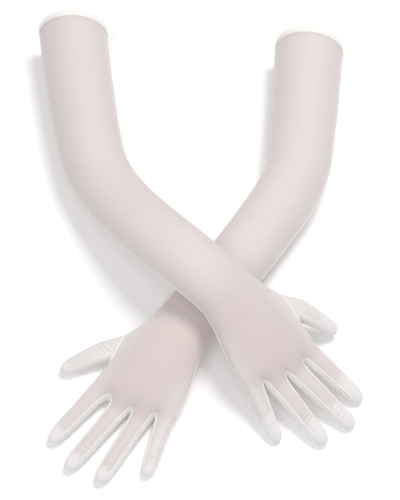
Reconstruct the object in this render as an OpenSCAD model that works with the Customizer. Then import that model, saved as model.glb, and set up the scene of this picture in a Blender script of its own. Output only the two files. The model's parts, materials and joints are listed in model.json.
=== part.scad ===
// A pair of opera-length gloves, one laid across the other, as if arms still filled them.
// Each glove is a sewn assembly of thin panels: sleeve, hand, thumb and four fingers.
// Millimetres, +Z up, the gloves lie on the plane z = 0.

/* [Fabric and hem] */
// Thickness of the stretch fabric
fabric_t = 0.7; // [0.5:0.05:1]
// Radius of the cuff's opening, inside the hem
cuff_bore_r = 34.5; // [29:0.5:41.5]
// Width of the folded hem band
hem_w = 10; // [8:0.5:16]
// Thickness of the elastic that lies in the hem's fold
elastic_t = 0.5; // [0.3:0.05:0.8]
// Free space between the elastic and the outer layer of the hem
elastic_gap = 0.4; // [0.2:0.05:0.8]
// Width of the line of hem stitching
stitch_w = 0.9; // [0.6:0.1:1.5]
// Depth that the stitching sinks into the hem
stitch_sink = 0.3; // [0.2:0.05:0.4]
// Width of the raised seams along sleeve, hand and thumb
seam_w = 2.2; // [1.6:0.1:3]
// How far a seam stands proud of the panels
seam_proud = 0.5; // [0.3:0.05:0.8]

/* [Sleeves] */
// Left sleeve, from the elbow's bend to the cuff's edge
left_upper_len = 170; // [140:1:205]
// Right sleeve, from the elbow's bend to the cuff's edge
right_upper_len = 178; // [148:1:214]
// Left sleeve, from the wrist to the elbow's bend
left_forearm_len = 201; // [167:1:242]
// Right sleeve, from the wrist to the elbow's bend
right_forearm_len = 212; // [176:1:255]
// Width across the sleeve at the elbow
elbow_w = 66; // [55:0.5:80]
// Height of the sleeve at the elbow
elbow_h = 62; // [52:0.5:75]
// Width across the wrist
wrist_w = 60; // [50:0.5:72]
// Height of the wrist
wrist_h = 39; // [32:0.5:47]
// Length over which the elbow turns
elbow_turn_len = 80; // [50:1:100]

/* [Hands] */
// Length of the palm from the wrist to the line between the index and little fingers' roots
palm_len = 84; // [72:0.5:100]
// Width of the palm across the knuckles
palm_w = 84; // [70:0.5:101]
// Height of the hand at the knuckles
knuckle_h = 27; // [22:0.5:32]
// Length of the index finger from its root
index_len = 68; // [56:0.5:82]
// Length of the middle finger from its root
middle_len = 77; // [64:0.5:92]
// Length of the ring finger from its root
ring_len = 74; // [62:0.5:89]
// Length of the little finger from its root
little_len = 56; // [47:0.5:67]
// Length of the thumb from the middle of its root
thumb_len = 59; // [49:0.5:71]
// Width of the index, middle and ring fingers at the root
finger_root_w = 19.5; // [16:0.25:21]
// Width of the index, middle and ring fingers at the tip
finger_tip_w = 15; // [12.5:0.25:17]
// Width of the little finger at the root
little_root_w = 16.5; // [14:0.25:18]
// Width of the little finger at the tip
little_tip_w = 13; // [11:0.25:15]
// Width of the thumb at the tip
thumb_tip_w = 16; // [13.5:0.25:19]
// Length of the thumb's opening along the side of the palm
thumb_hole_len = 36; // [30:0.5:40]
// Height of a finger as a share of its width
finger_round = 0.88; // [0.8:0.01:1]

/* [Clearances] */
// Space between the moving halves of the wrist and at the roots of the fingers
joint_gap = 0.8; // [0.5:0.1:2]
// Space between the lower glove and the upper glove where they cross
lay_gap = 1.6; // [1:0.1:5]
// Angle cut away above and below the wrist's hinge, on each side
wrist_cut = 15.5; // [10:0.5:18]
// Lean of a finger's root plane, which leaves room to bend back
root_lean = 16; // [10:0.5:18]

/* [Hidden] */
LEFT = 0;
RIGHT = 1;
SIDES = [LEFT, RIGHT];
SIDE = ["left", "right"];
// +1 puts the thumb to the left of the hand's heading, -1 to the right
MIRROR = [-1, 1];

FABRIC = "#E8DFDC";
EDGE = "#F5F1EE";
ELASTIC = "#D9D5D0";

// Where each wrist lies in plan, and the way each hand points, in degrees from +X
WRIST = [[-8, -102], [35, -84]];
HAND_HEADING = [-126.4, -44.5];
// Way the sleeve points behind the wrist, below the elbow, above the elbow and at the cuff
SLEEVE_HEADING = [-129, -38.5];
FOREARM_HEADING = [-122.5, -62];
UPPER_HEADING = [-98, -78];
CUFF_HEADING = [-94.5, -83.5];
// Downward slope of the right hand, which comes down from the lower glove's sleeve
RIGHT_PITCH = 19;

FOREARM_LEN = [left_forearm_len, right_forearm_len];
UPPER_LEN = [left_upper_len, right_upper_len];
cuff_r = cuff_bore_r + 2 * fabric_t + elastic_t + elastic_gap;
channel_r = cuff_bore_r + fabric_t;
// Where the stitching's groove starts along the hem, and the room at each edge of the elastic
groove_z = 1.2;
elastic_clear = 0.8;
sleeve_stations = 22;
elbow_station = 10;
// Flats round each kind of panel
sleeve_steps = 12;
hand_steps = 12;
digit_steps = 6;
gusset_steps = 3;
seam_steps = 2;

function lerp(a, b, t) = a + (b - a) * t;
function unit(v) = v / norm(v);
function toward(deg) = [cos(deg), sin(deg), 0];
function smooth(t) = let (c = max(0, min(1, t))) c * c * (3 - 2 * c);

// ---- the sleeve's path, walked back from the wrist to the cuff ----

function sleeve_len(g) = FOREARM_LEN[g] + UPPER_LEN[g] - hem_w;
function arm_heading(g, s) = let (
        forearm = lerp(SLEEVE_HEADING[g], FOREARM_HEADING[g], min(1, s / FOREARM_LEN[g])),
        upper = lerp(UPPER_HEADING[g], CUFF_HEADING[g], max(0, s / FOREARM_LEN[g] - 1))
    ) lerp(forearm, upper, smooth((s - FOREARM_LEN[g]) / elbow_turn_len + 0.5));
function half_w(s, g) = s < FOREARM_LEN[g]
    ? lerp(wrist_w / 2, elbow_w / 2, s / FOREARM_LEN[g])
    : lerp(elbow_w / 2, cuff_r, min(1, (s - FOREARM_LEN[g]) / (UPPER_LEN[g] - hem_w)));
function half_h(s, g) = s < FOREARM_LEN[g]
    ? lerp(wrist_h / 2, elbow_h / 2, s / FOREARM_LEN[g])
    : lerp(elbow_h / 2, cuff_r, min(1, (s - FOREARM_LEN[g]) / (UPPER_LEN[g] - hem_w)));

// Distance from each wrist back to the point where the two sleeves cross
left_way = toward(SLEEVE_HEADING[LEFT]);
right_way = toward(SLEEVE_HEADING[RIGHT]);
wrist_span = concat(WRIST[LEFT] - WRIST[RIGHT], 0);
function turn(a, b) = cross(a, b)[2];
CROSS_BACK = [
    turn(wrist_span, right_way) / turn(left_way, right_way),
    turn(left_way, wrist_span) / turn(right_way, left_way)];

// Height of the right sleeve's underside: flat to the elbow, then up over the left sleeve
cross_x = 1 - CROSS_BACK[RIGHT] / right_forearm_len;
cross_top = 2 * half_h(CROSS_BACK[LEFT], LEFT) + lay_gap;
function dive(x) = right_forearm_len * tan(RIGHT_PITCH) * (x * x - x * x * x);
right_wrist_lift = (cross_top - dive(cross_x)) / smooth(cross_x);
function lift(g, s) = let (x = max(0, 1 - s / FOREARM_LEN[g]))
    g == LEFT ? 0 : right_wrist_lift * smooth(x) + dive(x);

sleeve_step = [for (g = SIDES) sleeve_len(g) / (sleeve_stations - 1)];
function arm_plan(g, i) = i == 0
    ? concat(WRIST[g], 0)
    : arm_plan(g, i - 1) - sleeve_step[g] * toward(arm_heading(g, (i - 0.5) * sleeve_step[g]));
function arm_point(g, i) = let (s = i * sleeve_step[g])
    arm_plan(g, i) + [0, 0, half_h(s, g) + lift(g, s)];
ARM = [for (g = SIDES) [for (i = [0:sleeve_stations - 1]) arm_point(g, i)]];

// ---- the hand's own frame: x toward the fingers, y toward the thumb, z toward the back ----

knuckle_lean = 8;
knuckle_crown = 6.5;
left_pitch = asin((wrist_h - knuckle_h) / 2 / (palm_len + knuckle_crown));
PITCH = [left_pitch, RIGHT_PITCH];
function hand_x(g) = [
        cos(HAND_HEADING[g]) * cos(PITCH[g]), sin(HAND_HEADING[g]) * cos(PITCH[g]), -sin(PITCH[g])];
function side_y(g, deg) = MIRROR[g] * [-sin(deg), cos(deg), 0];
function hand_y(g) = side_y(g, HAND_HEADING[g]);
function hand_z(g) = MIRROR[g] * cross(hand_x(g), hand_y(g));
function hand_point(g, p) = ARM[g][0] + p[0] * hand_x(g) + p[1] * hand_y(g) + p[2] * hand_z(g);
function hand_vec(g, p) = p[0] * hand_x(g) + p[1] * hand_y(g) + p[2] * hand_z(g);

// ---- stations: centre, half-width vector, half-height vector, crown and flare vectors ----
// An angle of 0 is the thumb side, 90 the back, 180 the little-finger side, 270 the palm.

NONE = [0, 0, 0];
function rim(st, q, d) = st[0]
    + st[1] * (1 - d / norm(st[1])) * cos(q)
    + st[2] * (1 - d / norm(st[2])) * sin(q)
    + st[3] * pow(sin(q), 2)
    + st[4] * abs(sin(q));
function edge(q, i) = is_list(q) ? q[i] : q;

function sleeve_station(g, i) = let (
        last = sleeve_stations - 1,
        t = i == 0 ? hand_x(g) : unit(ARM[g][i - 1] - ARM[g][min(last, i + 1)]),
        y = side_y(g, atan2(t[1], t[0])),
        z = MIRROR[g] * cross(t, y),
        s = i * sleeve_step[g],
        cut = i == 0 ? joint_gap / 2 * -t : NONE,
        flare = i == 0 ? half_h(s, g) * tan(wrist_cut) * -t : NONE
    ) [ARM[g][i] + cut, half_w(s, g) * y, half_h(s, g) * z, NONE, flare];
SLEEVE = [for (g = SIDES) [for (i = [0:sleeve_stations - 1]) sleeve_station(g, i)]];

// Edges of the palm in the hand's frame, thumb side and little-finger side, with the half-height
palm_out = palm_w / 2 + 7.5;
palm_in = palm_w / 2 - 7;
wrist_out = wrist_w / 2;
// How far the heel of the hand stands out past the wrist, thumb side and little-finger side
heel_flare = [2.5, 4];
// How far the outer edge lies inside the line of the knuckles' corner, from the heel on
outer_inset = [11, 6, 2];
thumb_root_x = palm_len * 0.6;
thumb_bulge = 6;
thumb_root_y = palm_in + thumb_bulge * 0.6;
function palm_half_h(share) = lerp(wrist_h, knuckle_h, share) / 2;
PALM = [
    [[0, wrist_out], [0, -wrist_out], palm_half_h(0)],
    [[palm_len * 0.2, wrist_out + heel_flare[0]], [palm_len * 0.2, -wrist_out - heel_flare[1]],
        palm_half_h(0.22)],
    [[palm_len * 0.42, palm_in + thumb_bulge], [palm_len * 0.38, -palm_out + outer_inset[0]],
        palm_half_h(0.45)],
    [[thumb_root_x, thumb_root_y], [palm_len * 0.55, -palm_out + outer_inset[1]],
        palm_half_h(0.64)],
    [[palm_len * 0.8, palm_in + 1], [palm_len * 0.72, -palm_out + outer_inset[2]],
        palm_half_h(0.85)],
    [[palm_len + knuckle_lean, palm_in], [palm_len - knuckle_lean, -palm_out], palm_half_h(1)]];
palm_stations = 16;
function palm_row(x) = let (k = min(len(PALM) - 2, floor(x)), t = x - k) [
        lerp(PALM[k][0], PALM[k + 1][0], t), lerp(PALM[k][1], PALM[k + 1][1], t),
        lerp(PALM[k][2], PALM[k + 1][2], t)];
function palm_station(g, i) = let (
        x = i / (palm_stations - 1),
        row = palm_row(x * (len(PALM) - 1)),
        mid = (row[0] + row[1]) / 2,
        half = (row[0] - row[1]) / 2,
        cut = i == 0 ? joint_gap / 2 * hand_x(g) : NONE,
        flare = i == 0 ? row[2] * tan(wrist_cut) * hand_x(g) : NONE
    ) [
        hand_point(g, concat(mid, 0)) + cut, hand_vec(g, concat(half, 0)), row[2] * hand_z(g),
        knuckle_crown * x * hand_x(g), flare];
HAND = [for (g = SIDES) [for (i = [0:palm_stations - 1]) palm_station(g, i)]];

// Angle at which the palm's panels stop, so that their edges leave the thumb's opening
thumb_hole_angle = 42;
thumb_hole_mid = 0.585;
thumb_hole_span = thumb_hole_len / (palm_len + knuckle_lean);
function thumb_notch(i) = let (
        x = (i / (palm_stations - 1) - thumb_hole_mid) / thumb_hole_span * 2
    ) abs(x) < 1 ? thumb_hole_angle * sqrt(1 - x * x) : 0;
NOTCH = [for (i = [0:palm_stations - 1]) thumb_notch(i)];

// ---- digits ----

THUMB = 0;
INDEX = 1;
MIDDLE = 2;
RING = 3;
LITTLE = 4;
DIGITS = [THUMB, INDEX, MIDDLE, RING, LITTLE];
// Middle of each root in the hand's frame, along and across
web_gap = 2.6;
pitch_y = finger_root_w + web_gap;
middle_y = palm_in - 2 - 1.5 * pitch_y;
ROOT_Y = [thumb_root_y + 3, middle_y + pitch_y, middle_y, middle_y - pitch_y,
    middle_y - 1.5 * pitch_y - little_root_w / 2];
// The fingers start from the line of the knuckles, each this far beyond it
knuckle_reach = [0, 6, 12.2, 12.3, 6];
function knuckle_x(y) = palm_len + knuckle_lean
    - 2 * knuckle_lean * (palm_in - y) / (palm_in + palm_out);
ROOT = [for (d = DIGITS)
    [d == THUMB ? thumb_root_x : knuckle_x(ROOT_Y[d]) + knuckle_reach[d], ROOT_Y[d]]];
SPLAY = [30, 5, 2, -5, -19];
DIGIT_LEN = [thumb_len, index_len, middle_len, ring_len, little_len];
ROOT_W = [thumb_hole_len, finger_root_w, finger_root_w, finger_root_w, little_root_w];
TIP_W = [thumb_tip_w, finger_tip_w, finger_tip_w, finger_tip_w, little_tip_w];
thumb_root_h = 22;
ROOT_H = [thumb_root_h, finger_root_w * finger_round, finger_root_w * finger_round,
    finger_root_w * finger_round, little_root_w * finger_round];
// Way along the thumb's opening, from its near end back toward the wrist, in the hand's frame
thumb_root_dir = unit([-1, 0.28]);
root_sink = 1.3;

function root_low(d) = d == THUMB ? 1.5 : (knuckle_h - ROOT_H[d]) / 2 - root_sink;
// How far the left glove's index finger is spread out at its root
INDEX_OUT = [4, 0];
function root_out(g, d) = d == INDEX ? INDEX_OUT[g] : 0;
function root_point(g, d) = hand_point(g, [ROOT[d][0], ROOT[d][1] + root_out(g, d), -root_low(d)]);
function tip_h(d) = TIP_W[d] * finger_round;
// Extra height of the right thumb's tip, which hangs free
TIP_LIFT = [[0, 0, 0, 0, 0], [5, 0, 0, 0, 0]];
function digit_pitch(g, d) = asin(
        (root_point(g, d)[2] - tip_h(d) / 2 - TIP_LIFT[g][d]) / (DIGIT_LEN[d] - TIP_W[d] / 2));
function digit_heading(g, d) = HAND_HEADING[g] + MIRROR[g] * SPLAY[d];
function digit_x(g, d) = let (h = digit_heading(g, d), p = digit_pitch(g, d))
    [cos(h) * cos(p), sin(h) * cos(p), -sin(p)];
function digit_y(g, d) = side_y(g, digit_heading(g, d));
function digit_z(g, d) = MIRROR[g] * cross(digit_x(g, d), digit_y(g, d));
function root_y(g, d) = d == THUMB
    ? let (v = hand_vec(g, concat(thumb_root_dir, 0))) unit([v[0], v[1], 0])
    : digit_y(g, d);
// The hinge lies on the palm side of the root plane
function hinge_point(g, d) = root_point(g, d) - ROOT_H[d] / 2 * digit_z(g, d);
// Positive turns curl the digit toward the palm on both hands
function hinge_axis(g, d) = MIRROR[g] * root_y(g, d);

// Share of the straight part, then angles round the tip's dome
SHANK = [0, 0.16, 0.4, 0.7, 1];
DOME = [28, 52, 68, 79];
dome_len = 0.62;
// Widths of the thumb at its shoulder and below its joint, and how far along it the joint lies
thumb_shoulder_w = thumb_hole_len * 0.66;
thumb_joint_w = thumb_tip_w * 1.35;
thumb_joint_at = 0.2;
function thumb_w(x) = x < thumb_joint_at
    ? lerp(thumb_shoulder_w, thumb_joint_w, x / thumb_joint_at)
    : lerp(thumb_joint_w, thumb_tip_w, (x - thumb_joint_at) / (1 - thumb_joint_at));
function shank_w(d, x) = d == THUMB ? thumb_w(x) : lerp(ROOT_W[d], TIP_W[d], x);
function shank_station(g, d, k) = let (
        x = SHANK[k],
        run = DIGIT_LEN[d] - TIP_W[d] * dome_len,
        lean = k == 0 ? ROOT_H[d] / 2 * tan(root_lean) * digit_x(g, d) : NONE,
        gap = k == 0 ? joint_gap * digit_x(g, d) : NONE,
        wide = k == 0 ? ROOT_W[d] / 2 * root_y(g, d) : shank_w(d, x) / 2 * digit_y(g, d)
    ) [
        root_point(g, d) + x * run * digit_x(g, d) + lean + gap, wide,
        lerp(ROOT_H[d], tip_h(d), x) / 2 * digit_z(g, d) + lean, NONE, NONE];
function dome_station(g, d, q) = [
        root_point(g, d) + (DIGIT_LEN[d] - TIP_W[d] * dome_len * (1 - sin(q))) * digit_x(g, d),
        TIP_W[d] / 2 * cos(q) * digit_y(g, d), tip_h(d) / 2 * cos(q) * digit_z(g, d), NONE, NONE];
function digit_stations(g, d) = concat(
        [for (k = [0:len(SHANK) - 1]) shank_station(g, d, k)],
        [for (q = DOME) dome_station(g, d, q)]);
DIGIT = [for (g = SIDES) [for (d = DIGITS) digit_stations(g, d)]];

// ---- a panel: a strip of cloth bent round a row of stations ----

function quad(a, b, c, d) = [[a, b, c], [a, c, d]];
function is_turned(st) = cross(st[0][1], st[0][2]) * (st[1][0] - st[0][0]) < 0;

module panel(st, q0, q1, steps, proud = 0) {
    rows = len(st);
    cols = steps + 1;
    function at(d, i, j) = (d * rows + i) * cols + j;
    points = [for (d = [-proud, fabric_t]) for (i = [0:rows - 1]) for (j = [0:steps])
        rim(st[i], lerp(edge(q0, i), edge(q1, i), j / steps), d)];
    outside = [for (i = [0:rows - 2]) for (j = [0:steps - 1])
        each quad(at(0, i, j), at(0, i + 1, j), at(0, i + 1, j + 1), at(0, i, j + 1))];
    inside = [for (i = [0:rows - 2]) for (j = [0:steps - 1])
        each quad(at(1, i, j + 1), at(1, i + 1, j + 1), at(1, i + 1, j), at(1, i, j))];
    near_end = [for (j = [0:steps - 1])
        each quad(at(0, 0, j), at(0, 0, j + 1), at(1, 0, j + 1), at(1, 0, j))];
    far_end = let (i = rows - 1) [for (j = [0:steps - 1])
        each quad(at(0, i, j + 1), at(0, i, j), at(1, i, j), at(1, i, j + 1))];
    edges = [for (i = [0:rows - 2])
        each concat(
            quad(at(0, i + 1, 0), at(0, i, 0), at(1, i, 0), at(1, i + 1, 0)),
            quad(at(0, i, steps), at(0, i + 1, steps), at(1, i + 1, steps), at(1, i, steps)))];
    faces = concat(outside, inside, near_end, far_end, edges);
    polyhedron(points, is_turned(st) ? [for (f = faces) [f[2], f[1], f[0]]] : faces);
}

// ---- sleeve ----

// Half of the angle that a seam takes up, on a tube of the given width
function seam_angle(tube_w) = seam_w / tube_w / PI * 180;

sleeve_q = seam_angle(elbow_w);
// Each sleeve panel is drawn in a lower and an upper length that meet near the elbow
LOWER = [for (g = SIDES) [for (i = [0:elbow_station]) SLEEVE[g][i]]];
UPPER = [for (g = SIDES) [for (i = [elbow_station:sleeve_stations - 1]) SLEEVE[g][i]]];
module sleeve_back(lengths, g) {
    color(FABRIC) panel(lengths[g], sleeve_q, 180 - sleeve_q, sleeve_steps);
}
module sleeve_front(lengths, g) {
    color(FABRIC) panel(lengths[g], 180 + sleeve_q, 360 - sleeve_q, sleeve_steps);
}
module sleeve_inner_seam(g) {
    color(EDGE) panel(SLEEVE[g], -sleeve_q, sleeve_q, seam_steps, seam_proud);
}
module sleeve_outer_seam(g) {
    color(EDGE) panel(SLEEVE[g], 180 - sleeve_q, 180 + sleeve_q, seam_steps, seam_proud);
}

hem_facets = 96;
// The hem's own frame: z runs from the sleeve's end out of the cuff
function cuff_base(g) = ARM[g][sleeve_stations - 1];
function cuff_axis(g) = unit(cuff_base(g) - ARM[g][sleeve_stations - 2]);
module at_cuff(g) {
    t = cuff_axis(g);
    translate(cuff_base(g)) rotate([0, acos(t[2]), atan2(t[1], t[0])]) children();
}
module hem_band(g) {
    color(EDGE) at_cuff(g) rotate_extrude($fn = hem_facets) polygon([
        [cuff_bore_r, 0], [channel_r, 0], [channel_r, hem_w - fabric_t],
        [cuff_r - fabric_t, hem_w - fabric_t], [cuff_r - fabric_t, 0], [cuff_r, 0],
        [cuff_r, groove_z], [cuff_r - stitch_sink, groove_z],
        [cuff_r - stitch_sink, groove_z + stitch_w], [cuff_r, groove_z + stitch_w],
        [cuff_r, hem_w], [cuff_bore_r, hem_w]]);
}
module hem_elastic(g) {
    color(ELASTIC) at_cuff(g) translate([0, 0, elastic_clear])
        rotate_extrude($fn = hem_facets) translate([channel_r, 0])
            square([elastic_t, hem_w - fabric_t - 2 * elastic_clear]);
}
module hem_stitching(g) {
    color(EDGE) at_cuff(g) translate([0, 0, groove_z])
        rotate_extrude($fn = hem_facets) translate([cuff_r - stitch_sink, 0])
            square([stitch_sink, stitch_w]);
}

// ---- hand ----

// The hand is flat in section, where the same angle spans about half the width
hand_q = 2 * seam_angle(palm_w);
module hand_back(g) {
    color(FABRIC) panel(HAND[g], NOTCH, 180 - hand_q, hand_steps);
}
module hand_palm(g) {
    color(FABRIC) panel(HAND[g], 180 + hand_q, [for (q = NOTCH) 360 - q], hand_steps);
}
module hand_seam(g) {
    color(EDGE) panel(HAND[g], 180 - hand_q, 180 + hand_q, seam_steps, seam_proud);
}

// ---- digits: back and palm panels, and the fourchettes, the strips between two fingers ----

gusset_q = 26;
thumb_q = seam_angle(thumb_tip_w);
// Angles at which each digit's back panel starts and ends
BACK_FROM = [0, 0, gusset_q, gusset_q, gusset_q];
BACK_TO = [180 - thumb_q, 180 - gusset_q, 180 - gusset_q, 180 - gusset_q, 180];
module digit_back(g, d) {
    color(FABRIC) panel(DIGIT[g][d], BACK_FROM[d], BACK_TO[d], digit_steps);
}
module digit_palm(g, d) {
    color(FABRIC) panel(DIGIT[g][d], 360 - BACK_TO[d], 360 - BACK_FROM[d], digit_steps);
}
module inner_fourchette(g, d) {
    color(EDGE) panel(DIGIT[g][d], -gusset_q, gusset_q, gusset_steps);
}
module outer_fourchette(g, d) {
    color(EDGE) panel(DIGIT[g][d], 180 - gusset_q, 180 + gusset_q, gusset_steps);
}
module thumb_seam(g) {
    color(EDGE) panel(DIGIT[g][THUMB], 180 - thumb_q, 180 + thumb_q, seam_steps, seam_proud);
}

PARTS = [
    "hem_band", "hem_elastic", "hem_stitching",
    "sleeve_back_lower", "sleeve_back_upper", "sleeve_front_lower", "sleeve_front_upper",
    "sleeve_inner_seam", "sleeve_outer_seam",
    "hand_back", "hand_palm", "hand_seam",
    "thumb_back", "thumb_front", "thumb_seam",
    "index_back", "index_palm", "index_fourchette",
    "middle_back", "middle_palm", "middle_inner_fourchette", "middle_outer_fourchette",
    "ring_back", "ring_palm", "ring_inner_fourchette", "ring_outer_fourchette",
    "little_back", "little_palm", "little_fourchette"];
NODES = [for (g = SIDES) for (p = PARTS) str(SIDE[g], "_", p)];
node = "all";
function wanted(g, part) = node == "all" || node == str(SIDE[g], "_", part);

for (g = SIDES) {
    if (wanted(g, "hem_band")) hem_band(g);
    if (wanted(g, "hem_elastic")) hem_elastic(g);
    if (wanted(g, "hem_stitching")) hem_stitching(g);
    if (wanted(g, "sleeve_back_lower")) sleeve_back(LOWER, g);
    if (wanted(g, "sleeve_back_upper")) sleeve_back(UPPER, g);
    if (wanted(g, "sleeve_front_lower")) sleeve_front(LOWER, g);
    if (wanted(g, "sleeve_front_upper")) sleeve_front(UPPER, g);
    if (wanted(g, "sleeve_inner_seam")) sleeve_inner_seam(g);
    if (wanted(g, "sleeve_outer_seam")) sleeve_outer_seam(g);
    if (wanted(g, "hand_back")) hand_back(g);
    if (wanted(g, "hand_palm")) hand_palm(g);
    if (wanted(g, "hand_seam")) hand_seam(g);
    if (wanted(g, "thumb_back")) digit_back(g, THUMB);
    if (wanted(g, "thumb_front")) digit_palm(g, THUMB);
    if (wanted(g, "thumb_seam")) thumb_seam(g);
    if (wanted(g, "index_back")) digit_back(g, INDEX);
    if (wanted(g, "index_palm")) digit_palm(g, INDEX);
    if (wanted(g, "index_fourchette")) outer_fourchette(g, INDEX);
    if (wanted(g, "middle_back")) digit_back(g, MIDDLE);
    if (wanted(g, "middle_palm")) digit_palm(g, MIDDLE);
    if (wanted(g, "middle_inner_fourchette")) inner_fourchette(g, MIDDLE);
    if (wanted(g, "middle_outer_fourchette")) outer_fourchette(g, MIDDLE);
    if (wanted(g, "ring_back")) digit_back(g, RING);
    if (wanted(g, "ring_palm")) digit_palm(g, RING);
    if (wanted(g, "ring_inner_fourchette")) inner_fourchette(g, RING);
    if (wanted(g, "ring_outer_fourchette")) outer_fourchette(g, RING);
    if (wanted(g, "little_back")) digit_back(g, LITTLE);
    if (wanted(g, "little_palm")) digit_palm(g, LITTLE);
    if (wanted(g, "little_fourchette")) inner_fourchette(g, LITTLE);
}
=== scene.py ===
"""A pair of sheer opera-length gloves, laid one across the other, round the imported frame.

Each glove is one smooth skin, grown from a small cage over the frame's stations, sculpted
with the creases of worn stretch cloth, and then cut along its seams into sewn panels.
Everything is in metres in the frame's own axes: +Z up, +Y toward the cuffs.
"""

from __future__ import annotations

import json
import logging
import math
from dataclasses import dataclass, field
from enum import Enum
from typing import Any, Callable, Iterable, Iterator

import bmesh
import bpy
import numpy as np
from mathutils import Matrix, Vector, noise

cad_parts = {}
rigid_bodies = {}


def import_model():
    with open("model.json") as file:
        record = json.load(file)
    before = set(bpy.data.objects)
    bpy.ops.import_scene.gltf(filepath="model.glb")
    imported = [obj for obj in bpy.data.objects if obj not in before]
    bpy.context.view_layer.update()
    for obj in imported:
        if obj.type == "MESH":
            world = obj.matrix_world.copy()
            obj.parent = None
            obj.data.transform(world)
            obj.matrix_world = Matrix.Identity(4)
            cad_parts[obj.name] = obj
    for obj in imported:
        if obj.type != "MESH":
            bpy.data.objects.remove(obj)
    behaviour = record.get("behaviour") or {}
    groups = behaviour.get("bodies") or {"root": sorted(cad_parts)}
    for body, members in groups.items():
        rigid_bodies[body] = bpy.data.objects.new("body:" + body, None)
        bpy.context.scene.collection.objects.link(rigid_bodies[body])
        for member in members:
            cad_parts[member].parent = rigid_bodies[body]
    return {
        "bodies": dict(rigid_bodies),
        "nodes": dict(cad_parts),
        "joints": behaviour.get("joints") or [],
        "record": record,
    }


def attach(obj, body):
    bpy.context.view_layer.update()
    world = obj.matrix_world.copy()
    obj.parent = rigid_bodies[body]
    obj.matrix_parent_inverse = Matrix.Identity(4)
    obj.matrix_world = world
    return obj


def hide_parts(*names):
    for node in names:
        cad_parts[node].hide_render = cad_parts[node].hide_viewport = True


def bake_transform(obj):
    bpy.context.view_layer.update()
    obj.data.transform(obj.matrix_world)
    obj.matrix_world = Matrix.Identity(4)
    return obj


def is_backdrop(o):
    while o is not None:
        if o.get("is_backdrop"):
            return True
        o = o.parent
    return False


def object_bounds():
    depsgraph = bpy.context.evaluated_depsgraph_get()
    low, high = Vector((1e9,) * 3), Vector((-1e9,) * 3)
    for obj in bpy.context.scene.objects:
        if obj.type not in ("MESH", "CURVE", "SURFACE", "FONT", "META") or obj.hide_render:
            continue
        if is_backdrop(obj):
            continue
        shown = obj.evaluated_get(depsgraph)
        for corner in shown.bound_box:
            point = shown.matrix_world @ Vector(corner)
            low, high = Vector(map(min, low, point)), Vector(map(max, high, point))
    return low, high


log = logging.getLogger("opera_gloves")

MM = 0.001
RING = 26  # cage points round the hand and the sleeve
HALF = RING // 2
COLUMNS = 12  # of them along the back, three to a finger
THUMB_SIDE = (1, 0, RING - 1)  # the cage points round the thumb's opening, back to palm
KNUCKLES = 5  # number of palm rows from the wrist to the knuckles
BEAD_SIDES = 8  # sides of a seam's section
BEAD_STEP = 1.5  # distance between its sections, in millimetres
TIP_TURNS = (0, 38, 66)  # degrees round a fingertip at which it has a section
STALL = 8  # cage points round a finger
STALL_SHRINK = 0.902  # how far subdivision draws an eight-sided ring in
RING_SHRINK = 0.990
SUBDIVISIONS = 3


# ---- small helpers ----


def linear(hex_colour: str) -> tuple[float, float, float, float]:
    """Turn an sRGB hex colour into linear RGBA.

    Args:
        hex_colour: Six hex digits after a hash sign.

    Returns:
        The linear red, green and blue, with an alpha of 1.
    """
    channels = [int(hex_colour[i : i + 2], 16) / 255 for i in (1, 3, 5)]
    red, green, blue = (
        c / 12.92 if c <= 0.04045 else ((c + 0.055) / 1.055) ** 2.4 for c in channels
    )
    return red, green, blue, 1.0


def mix(a: Any, b: Any, share: float) -> Any:
    """Return the value that lies the given share of the way from a to b."""
    return a + (b - a) * share


def ease(x: float) -> float:
    """Return a smooth 0 to 1 for x from 0 to 1, and the ends beyond."""
    x = min(1.0, max(0.0, x))
    return x * x * (3 - 2 * x)


def signed_power(x: float, power: float) -> float:
    """Return |x| to a power, with the sign of x."""
    return math.copysign(abs(x) ** power, x)


def add_node(
    tree: bpy.types.NodeTree,
    kind: str,
    settings: dict[str, Any] | None = None,
    values: dict[str | int, Any] | None = None,
    links: dict[str | int, bpy.types.NodeSocket] | None = None,
) -> bpy.types.Node:
    """Add a shader node, set it and link its inputs.

    Args:
        tree: The material's node tree.
        kind: The node's type name.
        settings: Properties of the node.
        values: Values of its inputs, by socket name or number.
        links: Output sockets to link to its inputs, by socket name or number.

    Returns:
        The new node.
    """
    node = tree.nodes.new(kind)
    for name, value in (settings or {}).items():
        setattr(node, name, value)
    for name, value in (values or {}).items():
        node.inputs[name].default_value = value
    for name, socket in (links or {}).items():
        tree.links.new(socket, node.inputs[name])
    return node


# ---- finishes ----


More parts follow.
